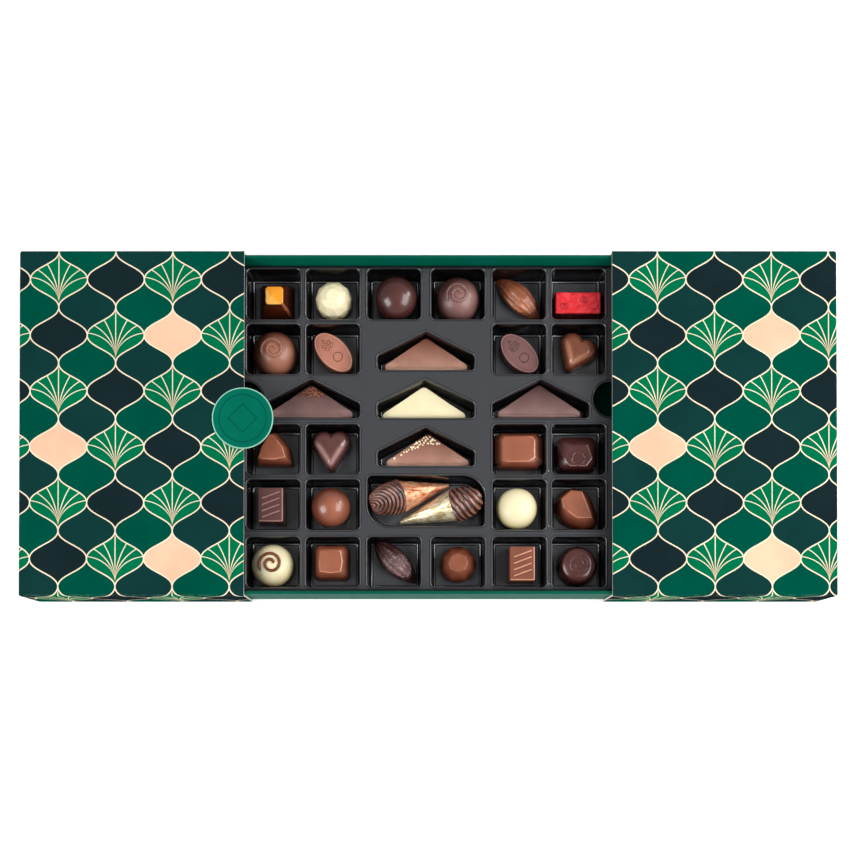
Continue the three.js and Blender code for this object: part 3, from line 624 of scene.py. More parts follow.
def buildSleeve(node, side, sizes, shiftX):
    low, high = (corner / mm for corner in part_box(node))
    length, depth, height = high.x - low.x, high.y - low.y, high.z - low.z
    fold, board, soft = sizes["fold"], sizes["board"], sizes["edgeSoft"]
    opening = high.x if side < 0 else low.x

    def ring(along, inset, radius):
        outline = rectangle(depth - 2 * inset, height - 2 * inset, max(radius, 0.05), sizes["foldSteps"])
        return [(opening + side * along, side * y, z + height / 2) for y, z in outline]

    outer = [ring(0, soft, fold - soft), ring(soft, 0, fold)]
    outer += [ring(soft + (length - fold - soft) * i / sizes["lengthSteps"], 0, fold)
              for i in range(1, sizes["lengthSteps"] + 1)]
    for i in range(1, sizes["foldSteps"] + 1):
        angle = math.pi / 2 * i / sizes["foldSteps"]
        outer.append(ring(length - fold + fold * math.sin(angle), fold * (1 - math.cos(angle)),
                          fold * math.cos(angle)))
    inner = [ring(0, board - soft, 0.3), ring(soft, board, 0.3), ring(length / 2, board, 0.3),
             ring(length - board, board, 0.3)]
    count = len(outer[0])
    faces = ringFaces(count, len(outer), caps=(False, True))
    start = count * len(outer)
    innerFaces = [tuple(reversed(face)) for face in ringFaces(count, len(inner), start, (False, True))]
    edgeFaces = [(i, start + i, start + (i + 1) % count, (i + 1) % count) for i in range(count)]
    kinds = [0] * len(faces) + [1] * len(innerFaces) + [2] * len(edgeFaces)

    def onFold(x, y, z, near=0.7 * fold):
        alongSide = min(z, height - z) < near and depth / 2 - abs(y) < near
        return alongSide or 0.05 * fold < length - abs(x - opening) < near

    points = joined(outer + inner)
    makeObject(node + "_print", points, faces + innerFaces + edgeFaces,
               [printedMaterial(node + " print", shiftX), plainBoard, cutBoard],
               "sleeve_left" if side < 0 else "sleeve_right", [node],
               tone=[1.0 if onFold(*point) else 0.0 for point in points], faceMaterials=kinds, angle=50)


buildSleeve("left_sleeve", -1, sleeveSizes, 0.0)
buildSleeve("right_sleeve", 1, sleeveSizes, -406.0)

traySizes = dict(wall=2.2, base=2.0, corner=1.2, rimSoft=0.9)


def buildTray(sizes):
    low, high = (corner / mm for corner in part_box("tray_box"))
    length, depth, rim = high.x - low.x, high.y - low.y, high.z
    wall, soft, corner = sizes["wall"], sizes["rimSoft"], sizes["corner"]

    def ring(inset, height, radius):
        return [(x, y, height) for x, y in rectangle(length - 2 * inset, depth - 2 * inset, radius, 5)]

    steps = [(0.3, low.z, 1.0), (0.0, low.z + 0.3, corner)]
    steps += [(0.0, low.z + (rim - soft - low.z) * i / 6, corner) for i in range(1, 7)]
    steps += [(soft * (1 - math.cos(a)), rim - soft + soft * math.sin(a), corner)
              for a in (math.pi / 2 * i / 4 for i in range(1, 5))]
    steps += [(wall - soft * (1 - math.cos(a)), rim - soft + soft * math.sin(a), 0.4)
              for a in (math.pi / 2 * i / 4 for i in range(4, -1, -1))]
    steps += [(wall, rim - 12, 0.3), (wall, low.z + sizes["base"], 0.3)]
    rings = [ring(*step) for step in steps]
    faces = ringFaces(len(rings[0]), len(rings))
    count = len(rings[0])
    kinds = []
    for level in range(len(rings) - 1):
        onRim = min(steps[level][1], steps[level + 1][1]) > rim - soft - 0.01
        kinds += [1 if onRim else 3 if steps[level][0] >= wall - 0.01 else 0] * count
    kinds += [0, 2]
    makeObject("tray_board", joined(rings), faces, [trayBoard, rimBoard, trayFloor, trayWall], "tray",
               ["tray_box"], faceMaterials=kinds, angle=50)


buildTray(traySizes)

sealSizes = dict(sides=128, relief=0.12, gluedBack=7.4, glue=0.25, dab=(12, 20, 3), card=0.8)


def buildSeal(sizes, look):
    low, high = (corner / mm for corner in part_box("seal"))
    middle = ((low.x + high.x) / 2, (low.y + high.y) / 2)
    radius, top = (high.x - low.x) / 2, high.z
    under = top - sizes["card"]
    inner, outer = look["ring"]
    levels = [(radius * 0.5, under), (radius - 0.15, under), (radius, under + 0.15), (radius, top - 0.15),
              (radius - 0.15, top), (outer + 0.3, top), (outer, top - sizes["relief"]),
              (inner, top - sizes["relief"]), (inner - 0.3, top), (8.0, top), (3.0, top)]
    rings = [[(middle[0] + x, middle[1] + y, z) for x, y in ellipse(2 * r, 2 * r, sizes["sides"])]
             for r, z in levels]
    makeObject("seal_card", joined(rings), ringFaces(sizes["sides"], len(rings)), sealMaterial(look, middle),
               "sleeve_left", ["seal"], angle=50)
    # dab of glue between the card and the lid
    dab = rectangle(*sizes["dab"])
    rings = [[(middle[0] - sizes["gluedBack"] + x, middle[1] + y, z) for x, y in dab]
             for z in (under - sizes["glue"], under + 0.1)]
    makeObject("seal_glue", joined(rings), ringFaces(len(dab), 2), plainBoard, "sleeve_left")


buildSeal(sealSizes, sealLook)
print("sleeves, tray and seal built")


# Insert

insertSizes = dict(length=294, depth=226.4, top=24, floor=6.6, sheet=0.5, draft=0.95, shift=-1.3, corner=3,
                   rimBend=1.1, floorBend=2.2, skirt=4.0)
columnReach = [-105.4, -64.4, -22.1, 22.1, 64.4, 105.4]
rowPlace = [93.2, 55.1, 20.9, -14.4, -52.6, -92.4]
cupSizes = dict(width=37.4, depth=35.4, rimRadius=3.6)
gableSizes = dict(width=67.6, depth=27.6, eaves=10.4, rimRadius=3, reach=79.2, places=(54.1, 20.9, -12.3))
coneCupSizes = dict(width=81.5, depth=35.6, tight=3.5, narrow=15.75, y=-50.1)
fingerHoles = dict(radius=12.6, x=126.4, y=20.4)


def cupOutlines():
    square = rectangle(cupSizes["width"], cupSizes["depth"], cupSizes["rimRadius"], 8)
    places = [(square, x, y) for row, y in enumerate(rowPlace) for column, x in enumerate(columnReach)
              if row != 2 and not (column in (2, 3) and 0 < row < 5)]
    x, y, eaves = gableSizes["width"] / 2, gableSizes["depth"] / 2, gableSizes["eaves"]
    gable = roundedPolygon([(-x, -y), (x, -y), (x, -y + eaves), (0, y), (-x, -y + eaves)],
                           gableSizes["rimRadius"], 8)
    back, middle, front = gableSizes["places"]
    places += [(gable, 0, back), (gable, 0, front)]
    places += [(gable, reach, middle) for reach in (-gableSizes["reach"], 0, gableSizes["reach"])]
    x, y = coneCupSizes["width"] / 2, coneCupSizes["depth"] / 2
    narrow, tight = coneCupSizes["narrow"], coneCupSizes["tight"]
    coneCup = roundedPolygon([(-x, -y), (x, -y), (x, y), (-x, y)], [narrow, tight, narrow, tight], 10)
    return places + [(coneCup, 0, coneCupSizes["y"])]


def inwards(outline, inset):
    # the outline moved in by a distance (out if negative), along its own normals
    moved = []
    for index, point in enumerate(outline):
        before, after = Vector(outline[index - 1]), Vector(outline[(index + 1) % len(outline)])
        along = (after - before).normalized()
        moved.append((point[0] - along.y * inset, point[1] + along.x * inset))
    return moved


def buildInsert(sizes):
    points, faces = [], []
    top, floor, bend, foot = sizes["top"], sizes["floor"], sizes["rimBend"], sizes["floorBend"]

    def rimProfile(side):
        return [(side * bend * (1 - share), bend * (1 - math.sqrt(max(0, 1 - share ** 2))))
                for share in shares(4)]

    # rim bend, drafted wall, floor bend, as [inset, depth below the top]
    cupDepth = top - floor
    profile = rimProfile(-1) + [(sizes["draft"] * 0.5, cupDepth * 0.5)]
    for i in range(6):
        angle = math.pi / 2 * i / 5
        profile.append((sizes["draft"] + foot * (1 - math.cos(angle)),
                        cupDepth - foot * (1 - math.sin(angle))))
    holes = []

    def addSkin(outline, x, y, steps, closed):
        start = len(points)
        for inset, deep in steps:
            points.extend((px + x, py + y, top - deep) for px, py in inwards(outline, inset))
        faces.extend(tuple(reversed(face)) for face in
                     ringFaces(len(outline), len(steps), start, (False, False)))
        if closed:
            last = start + (len(steps) - 1) * len(outline)
            faces.append(tuple(range(last, last + len(outline))))
        holes.append([(px + x, py + y) for px, py in inwards(outline, steps[0][0])])

    for outline, x, y in cupOutlines():
        outline = [p for i, p in enumerate(outline) if math.dist(p, outline[i - 1]) > 0.01]
        addSkin(outline, x + sizes["shift"], y, profile, True)
    lip = [(-1.0, 0.0), (-0.5, 0.12), (-0.1, 0.5), (0.0, 1.2)]
    for end in (-1, 1):
        hole = ellipse(2 * fingerHoles["radius"], 2 * fingerHoles["radius"], 72)
        addSkin(hole, end * fingerHoles["x"], fingerHoles["y"], lip, False)
    # outer skirt down to the tray floor
    edge = rectangle(sizes["length"], sizes["depth"], sizes["corner"], 8)
    start = len(points)
    skirt = rimProfile(1) + [(0.0, 8.0), (0.0, top - sizes["skirt"])]
    for inset, deep in skirt:
        points.extend((px + sizes["shift"], py, top - deep) for px, py in inwards(edge, inset))
    faces.extend(tuple(reversed(face)) for face in ringFaces(len(edge), len(skirt), start, (False, False)))
    outside = [(px + sizes["shift"], py) for px, py in inwards(edge, bend)]
    # flat top between the cups
    loops = [outside] + holes
    flat = [Vector(point) for point in joined(loops)]
    loopFaces, at = [], 0
    for loop in loops:
        loopFaces.append(list(range(at, at + len(loop))))
        at += len(loop)
    made, _, triangles, _, _, origins = geometry.delaunay_2d_cdt(flat, [], loopFaces, 1, 1e-5)
    start, bent = len(points), len(faces)
    points.extend((p.x, p.y, top) for p in made)
    for triangle, origin in zip(triangles, origins):
        if list(origin) == [0]:
            faces.append(tuple(start + i for i in triangle))
    return points, faces, bent


def weldAndThicken(thing, thickness, reach=0.004):
    weld = thing.modifiers.new("weld", "WELD")
    weld.merge_threshold = reach * mm
    weighted = thing.modifiers.new("even shading", "WEIGHTED_NORMAL")
    weighted.weight = 90
    solid = thing.modifiers.new("sheet thickness", "SOLIDIFY")
    solid.thickness = thickness * mm
    solid.offset = -1


insertPoints, insertFaces, bentFaces = buildInsert(insertSizes)


def insertPaintedShade(x, y, z):
    # painted shade: floors lightest, flat top between, cup walls and the strip along the box wall painted
    # dark
    deep = insertSizes["top"] - z
    if deep < insertSizes["rimBend"] * 0.6:
        outside = max(abs(x - insertSizes["shift"]) - 145, abs(y) - 111)
        return 0.92 if outside > 0 else 0.5
    return 0.0 if z < insertSizes["floor"] + 0.35 else 1.0


insertTray = makeObject("insert_cups", insertPoints, insertFaces, formedPlastic, "tray",
                        ["insert"], tone=[insertPaintedShade(*point) for point in insertPoints], angle=60)
insertTray.modifiers.clear()
for polygon in insertTray.data.polygons[bentFaces:]:
    polygon.use_smooth = False
weldAndThicken(insertTray, insertSizes["sheet"])
print("insert formed:", len(insertFaces), "faces")


# Pralines; vector noise follows the clock unless it is seeded

unevenSeed = 11
noise.seed_set(unevenSeed)


def cupPlace(column, row, dx=0.0, dy=0.0):
    return columnReach[column - 1] + insertSizes["shift"] + dx, rowPlace[row - 1] + dy


def roughen(points, amount, size, seed):
    # slow unevenness of a hand-finished piece
    shifted = []
    for x, y, z in points:
        place = Vector((x, y, z)) / size + Vector((seed * 7.3, seed * 3.1, 0))
        push = noise.noise_vector(place) * amount
        shifted.append((x + push.x, y + push.y, max(0.0, z + push.z) if z > 0.3 else z))
    return shifted


def placed(points, x, y, turn):
    return [(*turned(px, py, turn, (x, y)), pz + insertSizes["floor"]) for px, py, pz in points]


def addPraline(name, piece, points, faces, material, slot, node=None, tone=None, angle=40, faceMaterials=None,
               uneven=0.12, bevel=0.0):
    x, y = piece["at"]
    points = roughen(points, uneven, 9.0, len(name))
    tones = [tone(*point) for point in points] if tone else None
    thing = makeObject(name, placed(points, x, y, piece.get("turn", 0.0)), faces, material, "tray",
                       [node] if node else [], tones, angle, faceMaterials=faceMaterials)
    if bevel:
        soft = thing.modifiers.new("soft edges", "BEVEL")
        soft.width, soft.segments, soft.angle_limit = bevel * mm, 3, math.radians(12)
        soft.harden_normals = True
    return thing


def mouldedMesh(outline, steps, peak=0.0, reach=1.0, cuts=5):
    rings = closeTop(mouldedRings(outline, softPath(steps, reach, cuts) if reach else steps), peak)
    return joined(rings), ringFaces(len(outline), len(rings))


def rayRadius(outline, angle):
    # distance from the middle to a closed outline in one direction
    dx, dy = math.cos(angle), math.sin(angle)
    best = 0.0
    for index, (ax, ay) in enumerate(outline):
        bx, by = outline[(index + 1) % len(outline)]
        cross = dx * (by - ay) - dy * (bx - ax)
        if abs(cross) < 1e-9:
            continue
        along = (ax * (by - ay) - ay * (bx - ax)) / cross
        share = (ax * dy - ay * dx) / cross
        if along > 0 and -1e-6 <= share <= 1 + 1e-6:
            best = max(best, along)
    return best


def facetedMesh(outline, steps, table, topHeight, shoulder=0.9, reach=0.6, count=96):
    # a moulded foot whose flanks run up to a flat table of another outline, with an edge at each table corner
    cx = sum(p[0] for p in table) / len(table)
    cy = sum(p[1] for p in table) / len(table)
    middle = [(x - cx, y - cy) for x, y in table]
    base = [(x - cx, y - cy) for x, y in outline]
    corners = [math.atan2(y, x) % (2 * math.pi) for x, y in middle]
    angles = sorted({round(a, 5) for a in corners + [2 * math.pi * i / count for i in range(count)]
                     if a in corners or all(abs(a - c) > 0.02 for c in corners)})
    around = [rayRadius(base, a) for a in angles]
    above = [rayRadius(middle, a) for a in angles]

    def ring(radii, height):
        return [(r * math.cos(a) + cx, r * math.sin(a) + cy, height) for r, a in zip(radii, angles)]

    rings = [ring([r - inset for r in around], height) for inset, height in softPath(steps, reach)]
    wall = [r - steps[-1][0] for r in around]
    for share in (0.12, 0.5, 0.9):
        rings.append(ring([w + (t - w) * share for w, t in zip(wall, above)],
                          steps[-1][1] + (topHeight - steps[-1][1]) * share ** shoulder))
    rings.append(ring([t + 0.12 for t in above], topHeight - 0.24))
    rings.append(ring([t - 0.42 for t in above], topHeight))
    rings.append(ring([t - 1.2 for t in above], topHeight))
    edge = len(rings) - 3
    rings = closeTop(rings)
    faces = ringFaces(len(angles), len(rings))
    # the narrow bevel round the table, where it faces right or front; it takes a painted highlight colour
    lit = {edge * len(angles) + i for i, a in enumerate(angles) if math.cos(a + 0.75) > -0.1}
    bevel = {n for n, face in enumerate(faces) if len(face) == 4 and min(face) in lit and
             max(face) < (edge + 2) * len(angles)}
    return joined(rings), faces, bevel


def joinParts(*parts):
    points, faces, kinds = [], [], []
    for kind, part in enumerate(parts):
        partPoints, partFaces = part[:2]
        start = len(points)
        points += partPoints
        faces += [tuple(start + i for i in face) for face in partFaces]
        kinds += [kind] * len(partFaces)
    return points, faces, kinds


def domeRings(size, sides, levels):
    radius, waist, height, foot = size["width"] / 2, size["waist"], size["height"], size.get("foot", 0.6)
    steps = []
    for level in range(levels):
        angle = -foot + (math.pi / 2 + foot) * level / levels
        rise = waist * (1 + math.sin(angle) / math.sin(foot)) if angle < 0 else \
            waist + (height - waist) * math.sin(angle)
        steps.append((radius * (1 - math.cos(angle)), rise))
    rings = mouldedRings(ellipse(size["width"], size["width"], sides), steps)
    rings.append([(p[0] * 0.02, p[1] * 0.02, height) for p in rings[0]])
    return joined(rings), ringFaces(sides, len(rings))


def domeSurface(size, reach):
    share = math.sqrt(max(0, 1 - (2 * reach / size["width"]) ** 2))
    return size["waist"] + (size["height"] - size["waist"]) * share


def beadMesh(path, radius, sides=12, taper=6):
    points = []
    for index, here in enumerate(path):
        here = Vector(here)
        along = (Vector(path[min(index + 1, len(path) - 1)]) - Vector(path[max(index - 1, 0)])).normalized()
        side = Vector((0, 0, 1)).cross(along).normalized()
        over = along.cross(side)
        ends = min(index, len(path) - 1 - index)
        thick = radius * math.sqrt(min(1, (ends + 0.6) / taper)) * (1 + 0.06 * math.sin(index * 0.9))
        for k in range(sides):
            angle = 2 * math.pi * k / sides
            points.append(tuple(here + side * thick * math.cos(angle) + over * thick * math.sin(angle)))
    return points, ringFaces(sides, len(path))


def spiralPath(size, look, steps=120):
    path = []
    for step in range(steps + 1):
        share = step / steps
        reach = look["inner"] + (look["outer"] - look["inner"]) * share
        angle = 2 * math.pi * look["turns"] * share
        rise = domeSurface(size, reach) + look["bead"] - 2 * look["sunk"]
        path.append((reach * math.cos(angle), reach * math.sin(angle), rise))
    return path


orangePraline = dict(at=cupPlace(1, 1, 0.4, -0.8), width=24.6, height=16.4, cap=12.2, capPeak=2.6)


def addOrangePraline(piece):
    outline = evenly(rectangle(piece["width"], piece["width"], 1.4, 4), 96)
    steps = [(0.5, 0), (0, 1.2), (3.4, 12), (6.1, piece["height"])]
    points, faces = mouldedMesh(outline, steps, reach=0.8)
    # painted highlight: a lighter line down the front right corner of the body
    addPraline("orange_praline_body", piece, points, faces, chocolates["brownBase"], "dark_chocolate",
               "orange_praline", lambda x, y, z: 1.0 if z > 4 and x > 0 and abs(x + y) < 1.6 else 0.0)
    capOutline = rectangle(piece["cap"], piece["cap"], 2.2, 6)
    low = piece["height"]
    rings = mouldedRings(capOutline, softPath([(0, 0), (0, 0.9), (0.4, 1.2)], 0.3, 3), low)
    last = rings[-1]
    for share in (0.45, 0.8):
        rise = (piece["capPeak"] - 1.2) * share
        rings.append([(x * (1 - share), y * (1 - share), z + rise) for x, y, z in last])
    # painted light: the front left half of the glaze is lighter
    addPraline("orange_cap_glaze", piece, joined(rings), ringFaces(len(capOutline), len(rings)),
               chocolates["orange"], "orange_glaze", "orange_cap",
               lambda x, y, z: 1.0 if x + y < -2 else 0.0, angle=14, uneven=0.05)


addOrangePraline(orangePraline)

# Gem pralines: a polygon that turns as it climbs, so its flanks are triangles
whiteGem = dict(at=cupPlace(2, 1, -0.4, -0.6), sides=10, width=26.4, steps=[
    (1.4, 0, 0), (0, 4.5, 1), (0.8, 10, 2), (4.2, 14.6, 3), (8.6, 17, 4)])
milkGem = dict(at=cupPlace(4, 6, 0.2, 0), sides=8, width=26.4, steps=[
    (1, 0, 0), (0, 3.2, 0), (0.9, 7.6, 1), (6.6, 14, 2)])


def addGem(name, piece, material, slot, node):
    sides, facet = piece["sides"], math.pi / piece["sides"]
    outline = ellipse(piece["width"], piece["width"], sides)
    rings = mouldedRings(outline, [(inset, height, turn * facet) for inset, height, turn in piece["steps"]])
    faces = [tuple(range(sides - 1, -1, -1))]
    for level in range(len(rings) - 1):
        twist = piece["steps"][level + 1][2] - piece["steps"][level][2]
        for i in range(sides):
            a, b = level * sides + i, level * sides + (i + 1) % sides
            if twist:
                faces += [(a, b, a + sides), (b, b + sides, a + sides)]
            else:
                faces.append((a, b, b + sides, a + sides))
    faces.append(tuple(range((len(rings) - 1) * sides, len(rings) * sides)))
    # painted shade: the white gem deeper yellow low down; painted light: the milk gem lighter on top
    addPraline(name, piece, joined(rings), faces, material, slot, node, angle=10,
               tone=lambda x, y, z: (0.0 if z > 6 else 0.8) if "white" in name else (0.4 if z > 12 else 0.0),
               uneven=0.1, bevel=0.3)


addGem("white_gem_body", whiteGem, chocolates["cream"], "white_chocolate", "white_gem_praline")
addGem("milk_gem_body", milkGem, chocolates["milk"], "milk_chocolate", "milk_gem_praline")

# Ball and dome pralines; a scroll is a piped bead over the dome
scroll = dict(turns=1.6, inner=1.8, outer=8.4, bead=1.1, sunk=0.35)
domes = {
    "dark_ball": dict(at=cupPlace(3, 1, 1.3, -1), width=28.8, height=24, waist=12.4, foot=1.2,
                      finish="dark", slot="dark_chocolate", node="dark_ball_praline"),
    "dark_scroll": dict(at=cupPlace(4, 1, 0, -0.3), width=31.6, height=19.5, waist=5.5,
                        finish="darkScroll", slot="dark_chocolate", node="dark_scroll_praline",
                        scroll="darkScroll"),
    "milk_scroll": dict(at=cupPlace(1, 2, -0.4, -0.3), width=31.4, height=19.5, waist=5.5,
                        finish="milkScroll", slot="milk_chocolate", node="milk_scroll_praline",
                        scroll="milkScroll"),
    "milk_ball": dict(at=cupPlace(2, 5, -1.8, -1.1), width=27, height=24, waist=11.5, foot=1.1,
                      finish="milk", slot="milk_chocolate", node="milk_ball_praline"),
    "white_dome": dict(at=cupPlace(5, 5, -1.1, -1.2), width=28.4, height=18.6, waist=8, foot=0.9,
                       finish="cream", slot="white_chocolate", node="white_dome_praline"),
    "white_scroll": dict(at=cupPlace(1, 6, -1.8, -1), width=29.4, height=18.4, waist=6.5, finish="cream",
                         slot="white_chocolate", node="white_scroll_praline", scroll="piping"),
}


def domePaintedShading(x, y, z, piece):
    # painted light and shade: dark pieces painted lighter towards the right and front, white ones painted
    # deeper at the rim
    radius = piece["width"] / 2
    if piece["finish"] == "cream":
        return 0.9 * min(1.0, math.hypot(x, y) / radius) ** 6 * (1.0 if y < 0 else 0.6)
    away = math.hypot(x - 0.28 * radius, y + 0.24 * radius) / radius
    return 0.04 + 0.6 * max(0.0, 1 - away ** 2) * min(1.0, z / 10)


def addDome(name, piece):
    parts = [domeRings(piece, 96, 40)]
    materials = [chocolates[piece["finish"]]]
    if piece.get("scroll"):
        parts.append(beadMesh(spiralPath(piece, scroll), scroll["bead"]))
        materials.append(chocolates[piece["scroll"]])
    points, faces, kinds = joinParts(*parts)
    addPraline(name + "_shell", piece, points, faces, materials, piece["slot"], piece["node"],
               lambda x, y, z: domePaintedShading(x, y, z, piece),
               faceMaterials=kinds, uneven=0.15, angle=60)


for domeName, domePiece in domes.items():
    addDome(domeName, domePiece)

# Pod pralines: ribbed, pointed at both ends like a cocoa pod
pods = {
    "milk_pod": dict(at=cupPlace(5, 1, 0.7, 2), turn=-0.75, length=42.5, width=17.6, height=13.5, ribs=11,
                     ribDepth=0.05, finish="milkPod", slot="milk_chocolate", rough=-0.12),
    "dark_pod": dict(at=cupPlace(3, 6, 0.4, 2.2), turn=-0.79, length=42.5, width=17.8, height=14, ribs=10,
                     ribDepth=0.06, finish="darkPod", slot="dark_chocolate", rough=-0.2),
}


def addPod(name, piece, flat=1.4, sides=120, levels=64):
    rings, tones = [], []
    width, height = piece["width"], piece["height"]
    for level in range(1, levels):
        share = level / levels
        swell = math.sin(math.pi * share) ** 0.75
        middle = height / 2 * (0.25 + 0.75 * swell)
        ring = []
        for i in range(sides):
            angle = 2 * math.pi * i / sides
            wobble = 0.25 * noise.noise(Vector((share * 9, i * 0.11, len(name))))
            rib = 1 + piece["ribDepth"] * (math.cos(piece["ribs"] * angle + wobble) - 1)
            wrinkle = noise.noise(Vector((share * 20, math.cos(angle) * 9, math.sin(angle) * 9)))
            rib += piece["rough"] * abs(wrinkle) * min(1.0, max(0.15, (share - 0.3) * 4))
            ring.append((piece["length"] * (share - 0.5), width / 2 * swell * rib * math.cos(angle),
                         max(0, middle - flat + height / 2 * swell * rib * math.sin(angle))))
        rings.append(ring)
    # painted highlight: the upper half lighter towards the +x end and the near side
    addPraline(name + "_shell", piece, joined(rings), ringFaces(sides, len(rings)),
               chocolates[piece["finish"]], piece["slot"], name + "_praline",
               lambda x, y, z: max(0.05, min(0.8, 0.4 + x / 26 - y / 40)) if z > height * 0.5 else 0.1,
               uneven=0.12, angle=80)


for podName, podPiece in pods.items():
    addPod(podName, podPiece)

foilBar = dict(at=cupPlace(6, 1, 0.4, -4), width=32.2, depth=15, height=13, crinkle=0.2,
               stamps=[(4.2, 1.8), (-9.6, -2.6)],
               flecks=[(-13, 5.6), (13.4, -3.2), (-3.4, 5.2), (11.4, -5.2)])


def addFoilBar(piece):
    outline = evenly(rectangle(piece["width"], piece["depth"], 0.8, 3), 240)
    steps = [(0.5, 0), (0, 0.9), (0, 4), (0, 8), (0, 12.2), (0.8, 13)]
    rings = closeTop(mouldedRings(outline, softPath(steps, 0.6, 4)), count=24)
    points = []
    for x, y, z in joined(rings):
        crease = noise.noise(Vector((x * 0.45, y * 0.45, z * 0.45)))
        fine = noise.noise(Vector((x * 1.3, y * 1.3, z * 1.3 + 5)))
        lift = -abs(crease) * piece["crinkle"] - abs(fine) * piece["crinkle"] * 0.5
        inset = 1 + lift / 9
        points.append((x * inset, y * inset, z + (lift if z > 1 else 0)))
    parts = [(points, ringFaces(len(outline), len(rings)))]
    top = piece["height"] - 0.1
    for x, y in piece["stamps"]:
        for radius in (1.2, 2.7):
            parts.append(beadMesh(circlePath(x, y, radius, top, 36, 0.8), 0.28, 8, 1))
    for x, y in piece["flecks"]:
        parts.append(beadMesh([(x + t - 0.5, y + 0.8 * t, top) for t in (0, 0.35, 0.7, 1.1)], 0.4, 8, 2))
    points, faces, kinds = joinParts(*parts)
    kinds = [min(kind, 1) if kind or min(points[i][2] for i in face) > piece["height"] - 1.4 else 2
             for kind, face in zip(kinds, faces)]
    addPraline("foil_bar_wrap", piece, points, faces, [redFoil, stampFoil, shadedFoil], "red_foil",
               "foil_bar", faceMaterials=kinds, uneven=0.1, angle=60)
    # folded end flap along one side
    flap = [(-13.5, -7.5, 1.0), (13.5, -7.5, 1.0), (12.2, -7.65, 11.6), (-12.2, -7.65, 11.6)]
    thickness = [(x, y + 0.25, z) for x, y, z in flap]
    addPraline("foil_bar_flap", piece, flap + thickness,
               [(0, 1, 2, 3), (7, 6, 5, 4), (0, 4, 5, 1), (1, 5, 6, 2), (2, 6, 7, 3), (3, 7, 4, 0)],
               shadedFoil, "red_foil", uneven=0.05)


addFoilBar(foilBar)

medallions = {
    "milk_medallion": dict(at=cupPlace(2, 2, -0.4, 0.5), turn=-0.8, finish="milkSatinPaintedSheen", side="milk",
                           slot="milk_chocolate"),
    "dark_medallion": dict(at=cupPlace(5, 2, 1, -0.2), turn=-0.8, finish="darkPaintedSheen", side="dark",
                           slot="dark_chocolate"),
}
medallionSizes = dict(width=34, depth=20.6, height=9.6, groove=0.3, leaves=[
    (-9.6, 0.2, 0.0), (-7.2, 2.3, -0.8), (-7.0, -1.9, 0.8), (-4.4, 2.5, -0.8), (-4.2, -1.9, 0.8)])


def addMedallion(name, piece, sizes):
    height, groove = sizes["height"], sizes["groove"]
    steps = [(0.6, 0), (0, 0.8), (0.2, 8.6), (1, height), (1.5, height), (1.8, height - groove),
             (2.1, height - groove), (2.4, height)]
    outline = ellipse(sizes["width"], sizes["depth"], 144)
    body = mouldedMesh(outline, steps, 0.25, reach=0.4, cuts=3)
    # ornament: a small ring and a sprig of five leaves
    above = height + 0.05
    parts = [body, beadMesh(circlePath(4.6, 0, 3.2, above, 36), 0.4, 8, 1),
             beadMesh([(-1.6 - 6.2 * t, 0.5 * math.sin(3 * t), above) for t in shares(14)], 0.3, 8, 5)]
    for leafX, leafY, turn in sizes["leaves"]:
        leaf = [(*turned(x, y, turn, (leafX, leafY)), z) for x, y, z in circlePath(0, 0, 1.7, above, 24, 0.5)]
        parts.append(beadMesh(leaf, 0.3, 8, 1))
    points, faces, kinds = joinParts(*parts)
    # the flat top takes the lighter painted-sheen look, the sides and ornament the plain one
    kinds = [1 if kind or min(points[i][2] for i in face) < height - 0.9 else 0
             for kind, face in zip(kinds, faces)]

    # painted highlight: a lighter ring round the rim of the flat top
    def rimPaintedHighlight(x, y, z):
        onRim = z > height - 0.05 and math.hypot(2 * x / sizes["width"], 2 * y / sizes["depth"]) > 0.88
        return 1.0 if onRim else 0.2

    materials = [chocolates[piece["finish"]], chocolates[piece["side"]]]
    addPraline(name + "_tablet", piece, points, faces, materials, piece["slot"], name, rimPaintedHighlight,
               faceMaterials=kinds, uneven=0.05, angle=50)


for medallionName, medallionPiece in medallions.items():
    addMedallion(medallionName, medallionPiece, medallionSizes)


def heartParts(width, depth, lobeShare=0.285, tipShare=0.13):
    # radii of lobe and tip, the middle of a lobe, the height of the tip's middle, the angle of the flanks
    lobe, tip = lobeShare * width, tipShare * width
    x, y, tipY = width / 2 - lobe, depth / 2 - lobe, tip - depth / 2
    flank = math.atan2(y - tipY, x) - math.acos((tip - lobe) / math.hypot(x, y - tipY))
    return lobe, tip, x, y, tipY, flank


def heart(width, depth):
    # two round lobes and a blunt tip, joined by straight flanks
    lobe, tip, x, y, tipY, flank = heartParts(width, depth)
    notch = math.acos(-x / lobe)

    def arc(cx, cy, radius, start, end, count):
        angles = (start + (end - start) * i / count for i in range(count))
        return [(cx + radius * math.cos(a), cy + radius * math.sin(a)) for a in angles]

    def run(sign, count=10):
        ends = [(px + radius * math.cos(flank), py + radius * math.sin(flank))
                for px, py, radius in ((x, y, lobe), (0, tipY, tip))]
        if sign < 0:
            ends = [(-px, py) for px, py in reversed(ends)]
        (ax, ay), (bx, by) = ends
        return [(ax + (bx - ax) * i / count, ay + (by - ay) * i / count) for i in range(count)]

    points = arc(x, y, lobe, notch, flank, 44) + run(1) + arc(0, tipY, tip, flank, -math.pi - flank, 20)
    points += run(-1) + arc(-x, y, lobe, -math.pi - flank, -math.pi - notch, 44)
    return points[::-1]


def teardrop(radius, tipReach, tipAngle, count=120):
    points = []
    for i in range(count):
        angle = tipAngle + 2 * math.pi * i / count
        reach = radius + (tipReach - radius) * max(0, math.cos(angle - tipAngle)) ** 5
        points.append((reach * math.cos(angle), reach * math.sin(angle)))
    return points


